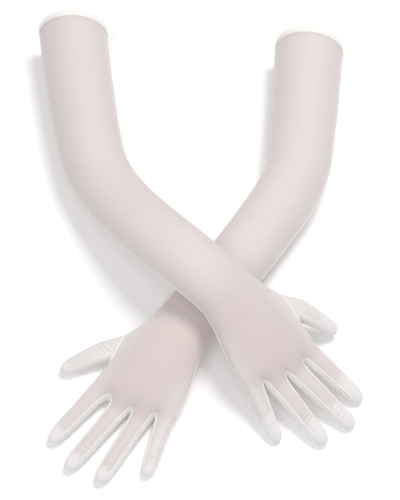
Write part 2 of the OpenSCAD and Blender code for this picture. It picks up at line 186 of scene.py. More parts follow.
class Weave:
    """A cloth material being made: its shader, its knit map and its place on the glove."""

    IOR = 1.53  # nylon and polyester yarn
    SPECULAR = 0.35  # loose filaments scatter most of the gloss

    def __init__(self, name: str, roughness: float, sheen: float, bloom: float) -> None:
        """Start a material with its uniform numbers.

        Args:
            name: The finish's name.
            roughness: Roughness of the yarn.
            sheen: Strength of the pale rim at grazing angles.
            bloom: How far that rim spreads.
        """
        self.material = bpy.data.materials.new(name)
        self.material.use_nodes = True
        self.tree = self.material.node_tree
        self.shader = self.tree.nodes["Principled BSDF"]
        self.shader.inputs["Roughness"].default_value = roughness
        self.shader.inputs["IOR"].default_value = self.IOR
        self.shader.inputs["Specular IOR Level"].default_value = self.SPECULAR
        self.shader.inputs["Sheen Weight"].default_value = sheen
        self.shader.inputs["Sheen Roughness"].default_value = bloom
        self.shader.inputs["Sheen Tint"].default_value = (1.0, 1.0, 1.0, 1.0)
        self.uv = add_node(self.tree, "ShaderNodeUVMap", {"uv_map": "knit"}).outputs["UV"]
        self.place = add_node(self.tree, "ShaderNodeTexCoord").outputs["Object"]

    def bands(self, direction: str, pitch_mm: float, distortion: float) -> bpy.types.NodeSocket:
        """Return bands across the knit map.

        Args:
            direction: X for bands that run along the cloth, Y for bands across it.
            pitch_mm: Distance between two bands.
            distortion: How uneven they are.

        Returns:
            The bands' height, 0 to 1.
        """
        # A Wave node's bands lie 2 pi / 20 / scale apart, on a map in metres
        values = {
            "Scale": 2 * math.pi / 20 / (pitch_mm * MM),
            "Distortion": distortion,
            "Detail": 1.0,
        }
        settings = {"bands_direction": direction}
        wave = add_node(self.tree, "ShaderNodeTexWave", settings, values, {"Vector": self.uv})
        return wave.outputs["Fac"]

    def cloud(self, scale: float, detail: float, roughness: float) -> bpy.types.NodeSocket:
        """Return soft noise over the glove.

        Args:
            scale: Number of clouds in a metre.
            detail: Number of finer layers.
            roughness: Strength of the finer layers.

        Returns:
            The noise, 0 to 1.
        """
        values = {"Scale": scale, "Detail": detail, "Roughness": roughness}
        links = {"Vector": self.place}
        return add_node(self.tree, "ShaderNodeTexNoise", None, values, links).outputs["Fac"]

    def calculate(
        self,
        operation: str,
        value: bpy.types.NodeSocket,
        number: float,
        addend: bpy.types.NodeSocket | None = None,
        clamp: bool = False,
    ) -> bpy.types.NodeSocket:
        """Return a value worked out with a number.

        Args:
            operation: SUBTRACT, or MULTIPLY_ADD.
            value: What it works on.
            number: What is taken away, or multiplied by.
            addend: What is added after a multiplication.
            clamp: Keep the result from 0 to 1.

        Returns:
            The result.
        """
        links = {0: value} if addend is None else {0: value, 2: addend}
        settings = {"operation": operation, "use_clamp": clamp}
        node = add_node(self.tree, "ShaderNodeMath", settings, {1: number}, links)
        return node.outputs[0]

    def between(
        self, low: str, high: str, level: bpy.types.NodeSocket
    ) -> bpy.types.NodeSocket:
        """Return a colour between two.

        Args:
            low: The colour at level 0, as sRGB hex.
            high: The colour at level 1.
            level: Where it lies between them.

        Returns:
            The colour.
        """
        colours = {6: linear(low), 7: linear(high)}
        settings = {"data_type": "RGBA"}
        return add_node(self.tree, "ShaderNodeMix", settings, colours, {"Factor": level}).outputs[2]

    def finish(
        self,
        colour: bpy.types.NodeSocket,
        height: bpy.types.NodeSocket,
        strength: float,
        depth_mm: float,
    ) -> bpy.types.Material:
        """Link the colour and the relief.

        Args:
            colour: The base colour.
            height: The relief, 0 to 1.
            strength: Strength of the relief.
            depth_mm: Depth that a height of 1 stands for.

        Returns:
            The finished material.
        """
        values = {"Strength": strength, "Distance": depth_mm * MM}
        bump = add_node(self.tree, "ShaderNodeBump", None, values, {"Height": height})
        self.tree.links.new(colour, self.shader.inputs["Base Color"])
        self.tree.links.new(bump.outputs[0], self.shader.inputs["Normal"])
        return self.material


@dataclass(frozen=True)
class Tricot:
    """Sheer warp-knitted nylon and elastane, stretched over a form.

    A satin-soft knit: fine lengthwise ribs, a pale bloom at grazing angles from its loose
    filaments, and a whiter look wherever a second layer lies behind it. Its colour also
    holds painted light: paler sides, whiter crease ridges and darker knit grooves.
    """

    name: str = "nylon_tricot"
    core: str = "#DCCDCA"  # one layer, with warmth behind it
    layered: str = "#F7F5F4"  # two layers or slack cloth, and the painted pale sides and crease ridges
    roughness: float = 0.62
    sheen: float = 0.45
    rib_pitch_mm: float = 1.6  # real ribs are about 0.7 mm apart, and wouldn't show
    course_pitch_mm: float = 1.2  # real courses are about 0.5 mm apart
    rib_depth_mm: float = 0.05
    course_share: float = 0.35  # height of the courses next to the ribs
    cloud_share: float = 0.16  # how far uneven stretch changes the tone
    groove_shade: float = 0.965  # painted shade: brightness at the bottom of the knit's grooves

    def build(self) -> bpy.types.Material:
        """Make the material.

        Returns:
            A material that reads the piece's knit UV map and its tone attribute.
        """
        weave = Weave(self.name, self.roughness, self.sheen, bloom=0.4)
        tone = add_node(weave.tree, "ShaderNodeAttribute", {"attribute_name": "tone"})
        # Cloudy differences in how far the knit is stretched, 25 mm across
        cloud = weave.cloud(scale=40.0, detail=3.0, roughness=0.55)
        shade = weave.calculate("MULTIPLY_ADD", cloud, self.cloud_share, tone.outputs["Fac"])
        level = weave.calculate("SUBTRACT", shade, self.cloud_share / 2, clamp=True)
        ribs = weave.bands("X", self.rib_pitch_mm, distortion=0.6)
        courses = weave.bands("Y", self.course_pitch_mm, distortion=1.2)
        knit = weave.calculate("MULTIPLY_ADD", courses, self.course_share, ribs)
        # Painted shade: the colour is darkened toward the bottom of the knit's grooves
        shading = {
            "From Min": 0.0,
            "From Max": 1.0 + self.course_share,
            "To Min": self.groove_shade,
            "To Max": 1.0,
        }
        groove_darkening = add_node(weave.tree, "ShaderNodeMapRange", None, shading, {"Value": knit})
        groove_shaded = add_node(
            weave.tree,
            "ShaderNodeVectorMath",
            {"operation": "SCALE"},
            links={0: weave.between(self.core, self.layered, level), "Scale": groove_darkening.outputs[0]},
        )
        return weave.finish(groove_shaded.outputs[0], knit, strength=0.5, depth_mm=self.rib_depth_mm)


@dataclass(frozen=True)
class Trim:
    """A sewn or folded edge of the same yarn, denser and more opaque than one layer of knit."""

    name: str
    colour: str
    shadow: str
    roughness: float
    pitch_mm: float  # spacing of the thread or rib that crosses the trim
    depth_mm: float
    sheen: float = 0.25
    across: bool = False  # the ribs run across the trim, not along it
    wear_share: float = 0.3  # how far fine unevenness lightens the ribs

    def build(self) -> bpy.types.Material:
        """Make the material.

        Returns:
            A material that reads the piece's knit UV map.
        """
        weave = Weave(self.name, self.roughness, self.sheen, bloom=0.5)
        bands = weave.bands("Y" if self.across else "X", self.pitch_mm, distortion=0.8)
        wear = weave.cloud(scale=220.0, detail=2.0, roughness=0.5)
        level = weave.calculate("MULTIPLY_ADD", wear, self.wear_share, bands, clamp=True)
        colour = weave.between(self.shadow, self.colour, level)
        return weave.finish(colour, bands, strength=0.6, depth_mm=self.depth_mm)


# The strips between the fingers: the same knit, backed by the allowances of two seams
FOURCHETTE = Trim("doubled_tricot", "#FDFBFA", "#F3EFED", 0.66, 1.4, 0.05, 0.35)
# Three-thread overlock: matt loops of textured yarn laid across the seam
OVERLOCK = Trim("overlocked_seam", "#FFFEFC", "#F6F2EE", 0.8, 1.1, 0.12, across=True)
# The hem: two layers of knit over elastic, nearly opaque and creamy at the fold, and
# greyer under the stitching, where a single cut edge backs the cloth
HEM = Tricot("folded_hem", "#E2D8D5", "#FFFBF6", 0.7, 0.3, 1.5, 1.2, 0.06)
# Spun polyester sewing thread, two plies twisted together
THREAD = Trim("sewing_thread", "#F4EFE9", "#DDD5CD", 0.6, 0.6, 0.05)
# Elastic tape covered in knitted yarn
TAPE = Trim("covered_elastic", "#E9E4DC", "#D6CFC6", 0.85, 1.0, 0.08, across=True)


class Slot(Enum):
    """The record's material slots, with the finish of each."""

    TRICOT = ("tricot", Tricot())
    FOURCHETTE = ("fourchette", FOURCHETTE)
    SEAM = ("seam", OVERLOCK)
    HEM = ("hem", HEM)
    THREAD = ("thread", THREAD)
    ELASTIC = ("elastic", TAPE)


class Wardrobe:
    """Builds each finish once and dresses pieces in it."""

    def __init__(self) -> None:
        """Start with no material built."""
        self._made: dict[Slot, bpy.types.Material] = {}

    def dress(self, piece: bpy.types.Object, slot: Slot) -> None:
        """Give a piece its finish.

        Args:
            piece: The finished mesh object.
            slot: The record's slot that it takes its finish from.
        """
        if slot not in self._made:
            self._made[slot] = slot.value[1].build()
        piece.data.materials.clear()
        piece.data.materials.append(self._made[slot])


# ---- what the frame says ----


class Side(Enum):
    """The left or the right glove, with the sign that puts the thumb on its side."""

    LEFT = ("left", -1)
    RIGHT = ("right", 1)

    @property
    def prefix(self) -> str:
        """Name that starts this glove's nodes and bodies."""
        return self.value[0]

    @property
    def mirror(self) -> int:
        """+1 where the thumb is to the left of the hand's heading, else -1."""
        return self.value[1]


class Digit(Enum):
    """The five digits, from the thumb to the little finger."""

    THUMB = "thumb"
    INDEX = "index"
    MIDDLE = "middle"
    RING = "ring"
    LITTLE = "little"


FINGERS = (Digit.INDEX, Digit.MIDDLE, Digit.RING, Digit.LITTLE)


def mean(points: Iterable[Vector]) -> Vector:
    """Return the middle of some points."""
    points = list(points)
    return sum(points, Vector()) / len(points)


@dataclass
class Axes:
    """A local frame: x toward the fingertips, y toward the thumb, z toward the back."""

    origin: Vector
    x: Vector
    y: Vector
    z: Vector

    def at(self, x: float, y: float, z: float) -> Vector:
        """Return the world place of local x, y, z."""
        return self.origin + x * self.x + y * self.y + z * self.z

    def local(self, p: Vector) -> Vector:
        """Return the local x, y, z of a world place."""
        d = p - self.origin
        return Vector((d.dot(self.x), d.dot(self.y), d.dot(self.z)))


@dataclass
class Station:
    """One section of a tube: centre, half-width toward the thumb, half-height toward the back."""

    centre: Vector
    wide: Vector
    high: Vector

    def point(self, angle: float, power: float = 2.0, grow: float = 1.0) -> Vector:
        """Return a point on the section's rim.

        Args:
            angle: Radians, 0 on the thumb side and a quarter turn at the back.
            power: 2 for an ellipse, more for a squarer section.
            grow: Scale that makes up for subdivision.

        Returns:
            The world place.
        """
        c = signed_power(math.cos(angle), 2 / power) * grow
        s = signed_power(math.sin(angle), 2 / power) * grow
        return self.centre + self.wide * c + self.high * s


@dataclass
class Stall:
    """Where one digit of the glove lies: its axes from the root, its length and hinge."""

    digit: Digit
    axes: Axes
    length: float
    hinge: Vector
    hinge_axis: Vector


@dataclass(frozen=True)
class GloveFrame:
    """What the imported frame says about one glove."""

    frame: dict[str, Any]
    side: Side

    def name(self, piece: str) -> str:
        """Return a piece's name with the side in front."""
        return f"{self.side.prefix}_{piece}"

    def nodes(self, piece: str) -> list[str]:
        """Return the CAD nodes that make up one piece of cloth: its own, or its two lengths."""
        name = self.name(piece)
        return [n for n in self.frame["nodes"] if n in (name, f"{name}_lower", f"{name}_upper")]

    def points(self, piece: str) -> list[Vector]:
        """Return the different places of a piece's vertices, to a hundredth of a millimetre."""
        seen = set()
        for node in self.nodes(piece):
            mesh = self.frame["nodes"][node].data
            seen |= {tuple(round(c, 5) for c in v.co) for v in mesh.vertices}
        return [Vector(p) for p in sorted(seen)]

    def joint(self, joint: str) -> dict[str, Any]:
        """Return one of the glove's joints."""
        return next(j for j in self.frame["joints"] if j["name"] == self.name(joint))

    def sleeve(self) -> list[Station]:
        """Return the sleeve's sections, wrist first, from its seams and its back panel."""
        rows = []
        for seam in ("inner", "outer"):
            points = self.points(f"sleeve_{seam}_seam")
            points.sort(key=lambda p: p.y)
            rows.append([mean(points[i : i + 6]) for i in range(0, len(points), 6)])
        back = self.points("sleeve_back")
        stations = []
        for i, (inner, outer) in enumerate(zip(*rows)):
            centre = (inner + outer) / 2
            wide = (inner - outer) / 2
            j = max(1, min(i, len(rows[0]) - 2))
            behind = rows[0][j - 1] + rows[1][j - 1]
            along = ((behind - rows[0][j + 1] - rows[1][j + 1]) / 2).normalized()
            up = (self.side.mirror * along.cross(wide)).normalized()
            here = [(p - centre).dot(up) for p in back if abs((p - centre).dot(along)) < 3 * MM]
            stations.append(Station(centre, wide, up * max(here, default=wide.length)))
        return stations

    def hand(self) -> Axes:
        """Return the hand's own axes, from its wrist joint and its outer seam."""
        wrist = self.joint("wrist")
        origin = Vector(wrist["pos_m"])
        y = (Vector(wrist["axis"]) * self.side.mirror).normalized()
        seam = self.points("hand_seam")
        seam.sort(key=lambda p: (p - origin).length)
        reach = mean(seam[-6:]) - origin
        x = (reach - y * reach.dot(y)).normalized()
        return Axes(origin, x, y, self.side.mirror * x.cross(y))

    def stall(self, digit: Digit, root_h: float) -> Stall:
        """Find a digit's place from its hinge and its panels' far ends.

        Args:
            digit: Which digit.
            root_h: Height of the digit at its root, in metres.

        Returns:
            The digit's stall.
        """
        joint = self.joint(f"{digit.value}_curl")
        hinge = Vector(joint["pos_m"])
        under = "front" if digit is Digit.THUMB else "palm"
        points = self.points(f"{digit.value}_back") + self.points(f"{digit.value}_{under}")
        far = (mean(points) - hinge).normalized()
        reach = max((p - hinge).dot(far) for p in points)
        tip = mean(p for p in points if (p - hinge).dot(far) > reach - 1.6 * MM)
        up = Vector((0, 0, 1))
        for _ in range(4):
            root = hinge + up * root_h / 2
            x = (tip - root).normalized()
            y = self.side.mirror * Vector((-x.y, x.x, 0)).normalized()
            up = self.side.mirror * x.cross(y)
        axes = Axes(root, x, y, up)
        return Stall(digit, axes, (tip - root).length, hinge, Vector(joint["axis"]))

    def cuff(self) -> dict[str, Any]:
        """Return the mount at the glove's cuff."""
        return next(m for m in self.frame["record"]["mounts"] if m["name"] == self.name("cuff"))


# ---- the cage that the skin grows from ----


@dataclass(frozen=True)
class Band:
    """A band of cloth between two rings of the cage."""

    panels: list[str]  # the panel of each face, from the first vertex on
    span: tuple[float, float]  # distance along the cloth at the old and the new ring
    pitch: float  # distance round the cloth between two vertices


def extrude_border(bm: bmesh.types.BMesh, ring: list[bmesh.types.BMVert]) -> list[Any]:
    """Extrude an open border, still in place, and return the new geometry."""
    count = len(ring)
    edges = [bm.edges.get((ring[i], ring[(i + 1) % count])) for i in range(count)]
    return bmesh.ops.extrude_edge_only(bm, edges=edges)["geom"]


def lay_band(
    bm: bmesh.types.BMesh,
    uv: Any,
    ring: list[bmesh.types.BMVert],
    fresh: Iterable[Any],
    places: list[Vector],
    span: tuple[float, float],
    pitch: float,
) -> tuple[list[bmesh.types.BMVert], list[bmesh.types.BMFace]]:
    """Place an extruded ring and map the band of faces behind it.

    Args:
        bm: The mesh.
        uv: Its knit map.
        ring: The ring that was extruded, in order.
        fresh: The geometry that the extrusion made.
        places: Where each new vertex goes.
        span: Distance along the cloth at the old and the new ring.
        pitch: Distance round the cloth between two vertices.

    Returns:
        The new ring and the faces of the band, each in the same order.
    """
    made = {v for v in fresh if isinstance(v, bmesh.types.BMVert)}
    after = [
        next(e.other_vert(vert) for e in vert.link_edges if e.other_vert(vert) in made)
        for vert in ring
    ]
    for vert, place in zip(after, places):
        vert.co = place
    band = []
    for i in range(len(ring)):
        j = (i + 1) % len(ring)
        corners = {ring[i]: (i, 0), ring[j]: (i + 1, 0), after[j]: (i + 1, 1), after[i]: (i, 1)}
        face = bm.faces.get(list(corners))
        for loop in face.loops:
            turn, end = corners[loop.vert]
            loop[uv].uv = (turn * pitch, span[end])
        band.append(face)
    return after, band


class Cage:
    """A coarse quad mesh with a panel label and a knit map on every face."""

    def __init__(self) -> None:
        """Start from the sheet that closes the hand between the fingers' roots."""
        self.bm = bmesh.new()
        bmesh.ops.create_grid(self.bm, x_segments=COLUMNS - 1, y_segments=2, size=1)
        self.uv = self.bm.loops.layers.uv.new("knit")
        self.cap: dict[tuple[int, int], bmesh.types.BMVert] = {}
        for vert in self.bm.verts:
            column = round((vert.co.x + 1) / 2 * (COLUMNS - 1))
            row = round((vert.co.y + 1) / 2 * 2)
            self.cap[column, row] = vert
        self.panels: list[str] = []

    def label(self, panel: str) -> int:
        """Return the number that stands for a panel on the faces."""
        if panel not in self.panels:
            self.panels.append(panel)
        return self.panels.index(panel)

    def rim(self) -> list[bmesh.types.BMVert]:
        """Return the cap's border, from the middle of the thumb side over the back."""
        last = COLUMNS - 1
        back = [self.cap[c, 2] for c in range(COLUMNS)]
        palm = [self.cap[c, 0] for c in range(last, -1, -1)]
        return [self.cap[0, 1], *back, self.cap[last, 1], *palm]

    def carry(
        self,
        ring: list[bmesh.types.BMVert],
        fresh: Iterable[Any],
        places: list[Vector],
        band: Band,
    ) -> list[bmesh.types.BMVert]:
        """Place a ring that was extruded, label the faces behind it and return the new ring."""
        after, faces = lay_band(self.bm, self.uv, ring, fresh, places, band.span, band.pitch)
        for face, panel in zip(faces, band.panels):
            face.material_index = self.label(panel)
        return after

    def extend(
        self, ring: list[bmesh.types.BMVert], places: list[Vector], band: Band
    ) -> list[bmesh.types.BMVert]:
        """Extrude an open border by one ring.

        Args:
            ring: The open border, in order.
            places: Where each new vertex goes.
            band: The cloth between the two.

        Returns:
            The new border.
        """
        return self.carry(ring, extrude_border(self.bm, ring), places, band)

    def push(
        self,
        faces: list[bmesh.types.BMFace],
        ring: list[bmesh.types.BMVert],
        places: list[Vector],
        middle: Vector,
        band: Band,
    ) -> tuple[list[bmesh.types.BMFace], list[bmesh.types.BMVert]]:
        """Extrude a block of four faces by one ring.

        Args:
            faces: The four faces round one middle vertex.
            ring: Their border, in order.
            places: Where each new border vertex goes.
            middle: Where the new middle vertex goes.
            band: The cloth between the two rings.

        Returns:
            The four faces at the new end, and their border.
        """
        kept = [f.material_index for f in faces]
        made = bmesh.ops.extrude_face_region(self.bm, geom=faces)["geom"]
        stale = [f for f in faces if f.is_valid]
        after = self.carry(ring, made, places, band)
        border = set(after)
        for item in made:
            if isinstance(item, bmesh.types.BMVert) and item not in border:
                item.co = middle
        if stale:
            bmesh.ops.delete(self.bm, geom=stale, context="FACES")
        fresh = [f for f in made if isinstance(f, bmesh.types.BMFace)]
        for face, index in zip(fresh, kept):
            face.material_index = index
        return fresh, after


# ---- one glove ----


@dataclass
class Fold:
    """A shallow crease: a soft ridge or groove across a tube or along it."""

    centre: Vector
    across: Vector  # the way that the height changes
    along: Vector  # the way that the crease runs
    width: float
    length: float
    depth: float
    bloom: float = 0.0  # painted light and shade: how much whiter the ridge is than the groove, per millimetre

    def height(self, p: Vector) -> float:
        """Return how far the crease lifts the cloth at a place."""
        d = p - self.centre
        u = d.dot(self.across) / self.width
        v = d.dot(self.along) / self.length
        if abs(u) > 3 or abs(v) > 1:
            return 0.0
        return self.depth * (1 - u * u) * math.exp(-u * u / 2) * (1 - v * v) ** 2


# Creases at the finger joints: digit, share of its length, slant in degrees, depth in mm
FINGER_CREASES = {
    Side.RIGHT: (
        (Digit.RING, 0.56, 14, 0.42),
        (Digit.RING, 0.62, 20, 0.62),
        (Digit.RING, 0.68, 8, 0.55),
        (Digit.RING, 0.75, 16, 0.36),
        (Digit.MIDDLE, 0.6, 18, 0.5),
        (Digit.MIDDLE, 0.67, -10, 0.42),
        (Digit.MIDDLE, 0.73, 12, 0.5),
        (Digit.MIDDLE, 0.8, 4, 0.4),
        (Digit.INDEX, 0.74, 12, 0.3),
        (Digit.LITTLE, 0.64, 6, 0.35),
        (Digit.THUMB, 0.7, -20, 0.35),
    ),
    Side.LEFT: (
        (Digit.MIDDLE, 0.55, 10, 0.3),
        (Digit.MIDDLE, 0.63, -8, 0.4),
        (Digit.MIDDLE, 0.71, 12, 0.35),
        (Digit.INDEX, 0.72, 20, 0.35),
        (Digit.RING, 0.7, -14, 0.3),
        (Digit.RING, 0.82, 30, 0.4),
        (Digit.LITTLE, 0.66, 16, 0.4),
        (Digit.THUMB, 0.14, 24, 0.5),
        (Digit.THUMB, 0.22, 12, 0.55),
        (Digit.THUMB, 0.3, 28, 0.35),
        (Digit.THUMB, 0.62, -12, 0.3),
    ),
}
# Shallow rolls round the wrist: place toward the fingers and depth, in mm
WRIST_ROLLS = ((-11, 0.06), (-5.0, 0.1), (1.5, 0.08), (8, 0.05))
# Folds inside the elbow: rows past its sharpest bend, slant in radians, depth in mm
ELBOW_FOLDS = ((-1, 0.25, 0.25), (0, 0.0, 0.35), (1, -0.25, 0.3), (2, 0.1, 0.2))


@dataclass
class Glove:
    """One opera glove: sleeve, hand, thumb and four fingers, sewn from panels.

    The sizes are in millimetres.
    """

    frame: GloveFrame
    fabric_t: float = 0.7
    wrist_w: float = 60
    wrist_h: float = 39
    palm_len: float = 84
    palm_w: float = 84
    knuckle_h: float = 27
    finger_root_w: float = 19.5
    finger_tip_w: float = 15
    little_root_w: float = 16.5
    little_tip_w: float = 13
    thumb_root_h: float = 22
    thumb_tip_w: float = 16
    finger_round: float = 0.88
    palm_in_trim: float = 7  # how far the palm's edge lies inside half its width
    palm_out_reach: float = 7.5  # and outside it on the little-finger side
    heel_flare: tuple[float, float] = (2.5, 4)  # thumb side, little-finger side
    outer_inset: tuple[float, float, float] = (11, 6, 2)
    knuckle_lean: float = 8
    knuckle_crown: float = 6.5
    knuckle_square: float = 2.35  # power of the section at the knuckles; 2 is an ellipse
    back_slope: float = 0.16  # share of its height that the back loses at the knuckles
    tip_dome: float = 0.62  # length of a rounded tip next to its width
    web_draw: float = 0.45  # how far the seams of two fingers draw together at the crotch
    least_sheet: float = 0.0102  # the narrowest width given to a panel, in metres
    crease_depth: float = 2.1  # strength of the creases at the finger joints
    crease_bloom: float = 0.34  # painted light and shade: how white their ridges are next to their grooves, per millimetre
    slack: float = 0.22  # height of the cloth's slow waves
    seam_w: float = 1.9
    seam_proud: float = 0.55
    hem_tuck: float = 1.2
    hem_slant: float = 0.0  # lean of the cuff's edge from square, in degrees
    white_tip: float = 20.0  # how far back from a tip the slack, whiter cloth starts
    sleeve: list[Station] = field(init=False)
    hand: Axes = field(init=False)
    stalls: dict[Digit, Stall] = field(init=False)
    creases: list[Fold] = field(init=False)
    roots: dict[Digit, list[Vector]] = field(init=False, default_factory=dict)

    # -- reading the frame --

    def read(self) -> None:
        """Take this glove's places from the frame."""
        self.sleeve = self.frame.sleeve()
        self.hand = self.frame.hand()
        self.stalls = {d: self.frame.stall(d, self.root_h(d) * MM) for d in Digit}
        self.creases = list(self._worn_creases())

    def _worn_creases(self) -> Iterator[Fold]:
        """Yield the creases of a worn glove: at the finger joints, the thumb, wrist and elbow."""
        for digit, share, slant, depth in FINGER_CREASES[self.frame.side]:
            axes = self.stalls[digit].axes
            length = self.stalls[digit].length
            width = self.tip_w(digit)
            turn = math.radians(slant) * self.frame.side.mirror
            across = axes.x * math.cos(turn) + axes.y * math.sin(turn)
            along = axes.y * math.cos(turn) - axes.x * math.sin(turn)
            centre = axes.origin + axes.x * length * share + axes.z * width * 0.4 * MM
            long = width * 0.68 * MM
            depth *= self.crease_depth * MM
            yield Fold(centre, across, along, 0.95 * MM, long, depth, self.crease_bloom)
        wrist = self.hand
        for step, depth in WRIST_ROLLS:
            centre = wrist.at(step * MM, 8 * MM, 14 * MM)
            yield Fold(centre, wrist.x, wrist.y, 2.2 * MM, 30 * MM, depth * MM)
        centres = [s.centre for s in self.sleeve]
        bend = max(
            range(8, len(centres) - 6),
            key=lambda i: (centres[i - 2] - 2 * centres[i] + centres[i + 2]).length,
        )
        for offset, slant, depth in ELBOW_FOLDS:
            here = self.sleeve[bend + offset]
            way = (centres[bend + offset - 1] - here.centre).normalized()
            inner = centres[bend - 2] + centres[bend + 2] - 2 * here.centre
            sideways = here.wide.normalized() * math.copysign(1, inner.dot(here.wide))
            centre = here.centre + sideways * here.wide.length * 0.8 + here.high * 0.5
            turn = way * math.cos(slant) + sideways * math.sin(slant)
            yield Fold(centre, turn, here.high.normalized(), 3.4 * MM, 34 * MM, depth * MM)

    def root_h(self, digit: Digit) -> float:
        """Return the height of a digit at its root."""
        if digit is Digit.THUMB:
            return self.thumb_root_h
        return self.root_w(digit) * self.finger_round

    def root_w(self, digit: Digit) -> float:
        """Return the width of a finger at its root."""
        return self.little_root_w if digit is Digit.LITTLE else self.finger_root_w

    def tip_w(self, digit: Digit) -> float:
        """Return the width of a digit at its tip."""
        if digit is Digit.THUMB:
            return self.thumb_tip_w
        return self.little_tip_w if digit is Digit.LITTLE else self.finger_tip_w

    # -- the hand's outline --

    def palm_row(self, place: float) -> tuple[Vector, Vector, float]:
        """Return the hand's outline a share of the way from wrist to knuckles.

        Args:
            place: 0 at the wrist to 5 at the knuckles.

        Returns:
            The thumb-side and the little-side edge in the hand's plane, and the half-height.
        """
        length, wrist = self.palm_len, self.wrist_w / 2
        out = self.palm_w / 2 + self.palm_out_reach
        inner = self.palm_w / 2 - self.palm_in_trim
        flare, inset, lean = self.heel_flare, self.outer_inset, self.knuckle_lean / length
        # Thumb-side edge, little-side edge, share of the way from wrist to knuckle height
        rows = [
            ((0, wrist), (0, -wrist), 0.0),
            ((0.2, wrist + flare[0]), (0.2, -wrist - flare[1]), 0.22),
            ((0.42, inner + 4), (0.38, -out + inset[0]), 0.45),
            ((0.6, inner + 2), (0.55, -out + inset[1]), 0.64),
            ((0.8, inner + 1), (0.72, -out + inset[2]), 0.85),
            ((1 + lean, inner), (1 - lean, -out), 1.0),
        ]
        k = min(len(rows) - 2, int(place))
        t = place - k
        thumb = mix(Vector(rows[k][0]), Vector(rows[k + 1][0]), t)
        little = mix(Vector(rows[k][1]), Vector(rows[k + 1][1]), t)
        thumb.x, little.x = thumb.x * length, little.x * length
        share = mix(rows[k][2], rows[k + 1][2], t)
        return thumb, little, mix(self.wrist_h, self.knuckle_h, share) / 2

    def column_places(self) -> list[Vector]:
        """Return where the back's twelve columns meet the finger roots, in the hand's plane."""
        places = []
        for digit in FINGERS:
            stall = self.stalls[digit]
            root = self.hand.local(stall.axes.origin) / MM
            y = Vector((stall.axes.y.dot(self.hand.x), stall.axes.y.dot(self.hand.y)))
            for step in (1, 0, -1):
                places.append(Vector((root.x, root.y)) + y * step * self.root_w(digit) / 2)
        return places

    def hand_ring(
        self, place: float, swell: tuple[float, float, float] | None = None
    ) -> list[Vector]:
        """Return the hand's cage ring at one place between wrist and knuckles.

        Args:
            place: 0 at the wrist to 5 at the knuckles.
            swell: Where the thumb's opening lies here, in degrees: its top above the
                side, and its middle and its foot below.

        Returns:
            The ring's places, from the middle of the thumb side over the back.
        """
        thumb, little, half = self.palm_row(place)
        mid, arm = (thumb + little) / 2, (thumb - little) / 2
        settled = ease((place - 1.2) / 3.6)
        columns = self.column_places()
        power = mix(2.0, self.knuckle_square, place / KNUCKLES)
        ring = []
        for k in range(RING):
            spread = math.cos(2 * math.pi * k / RING)
            if k % HALF:
                column = columns[k - 1] if k <= COLUMNS else columns[RING - 1 - k]
                reach = (column.y - mid.y) / arm.y
                spread = mix(spread, max(-0.97, min(0.97, reach)), settled)
            if swell and k in THUMB_SIDE:
                spread = math.cos(math.radians(swell[THUMB_SIDE.index(k)]))
            rise = (1 - abs(spread) ** power) ** (1 / power) if abs(spread) < 1 else 0.0
            rise = rise * half / RING_SHRINK
            crown = self.knuckle_crown * place / KNUCKLES * (rise / half) ** 2
            sign = -1 if k > HALF or (swell and k == 0) else 1
            if sign > 0:
                # The back slopes down toward the fingers before the knuckles end
                rise *= 1 - self.back_slope * ease((place - 3.2) / 1.4)
            ring.append(
                self.hand.at(
                    (mid.x + arm.x * spread + crown) * MM,
                    (mid.y + arm.y * spread / RING_SHRINK) * MM,
                    sign * rise * MM,
                )
            )
        return ring

    # -- growing the skin --

    def grow(self) -> Cage:
        """Build the cage of the whole glove.

        Returns:
            The cage, with its panels labelled.
        """
        cage = Cage()
        self._place_cap(cage)
        rim = cage.rim()
        hand_halves = ["hand_back"] * HALF + ["hand_palm"] * HALF
        sleeve_halves = ["sleeve_back"] * HALF + ["sleeve_front"] * HALF
        pitch = math.pi * self.palm_w * 0.8 / RING * MM
        rings = {}
        travelled = self.palm_len
        narrow, wide = (10.0, 16.0, 40.0), (14.0, 20.0, 58.0)
        stops = [
            (4.6, None, hand_halves),
            (4.0, narrow, hand_halves),
            (3.0, wide, hand_halves),
            (2.0, narrow, hand_halves),
            (1.35, None, hand_halves),
            (0.84, None, hand_halves),
            (0.4, None, sleeve_halves),
            (0.0, None, sleeve_halves),
        ]
        for place, swell, halves in stops:
            onward = self.palm_len * place / KNUCKLES
            band = Band(halves, (travelled * MM, onward * MM), pitch)
            rim = cage.extend(rim, self.hand_ring(place, swell), band)
            rings[place] = rim
            travelled = onward
        self._grow_sleeve(cage, rim, sleeve_halves, pitch)
        for index, digit in enumerate(FINGERS):
            self._grow_finger(cage, digit, index * 3)
        self._grow_thumb(cage, rings[2.0], rings[3.0], rings[4.0])
        bmesh.ops.recalc_face_normals(cage.bm, faces=cage.bm.faces)
        return cage

    def _place_cap(self, cage: Cage) -> None:
        """Put the cap's vertices at the fingers' roots, with a web between each pair."""
        roots = {d: self.hand.local(self.stalls[d].axes.origin) / MM for d in FINGERS}
        for index, digit in enumerate(FINGERS):
            stall = self.stalls[digit].axes
            w, h = self.root_w(digit) / 2, self.root_h(digit) / 2
            for step in (-1, 0, 1):
                column = index * 3 + 1 + step
                beside = index + step
                webbed = step != 0 and 0 <= beside < len(FINGERS)
                for row, lift in ((2, 1), (1, 0), (0, -1)):
                    place = stall.at(0, -step * w * (0.95 if lift else 1.02) * MM, 0)
                    if webbed:
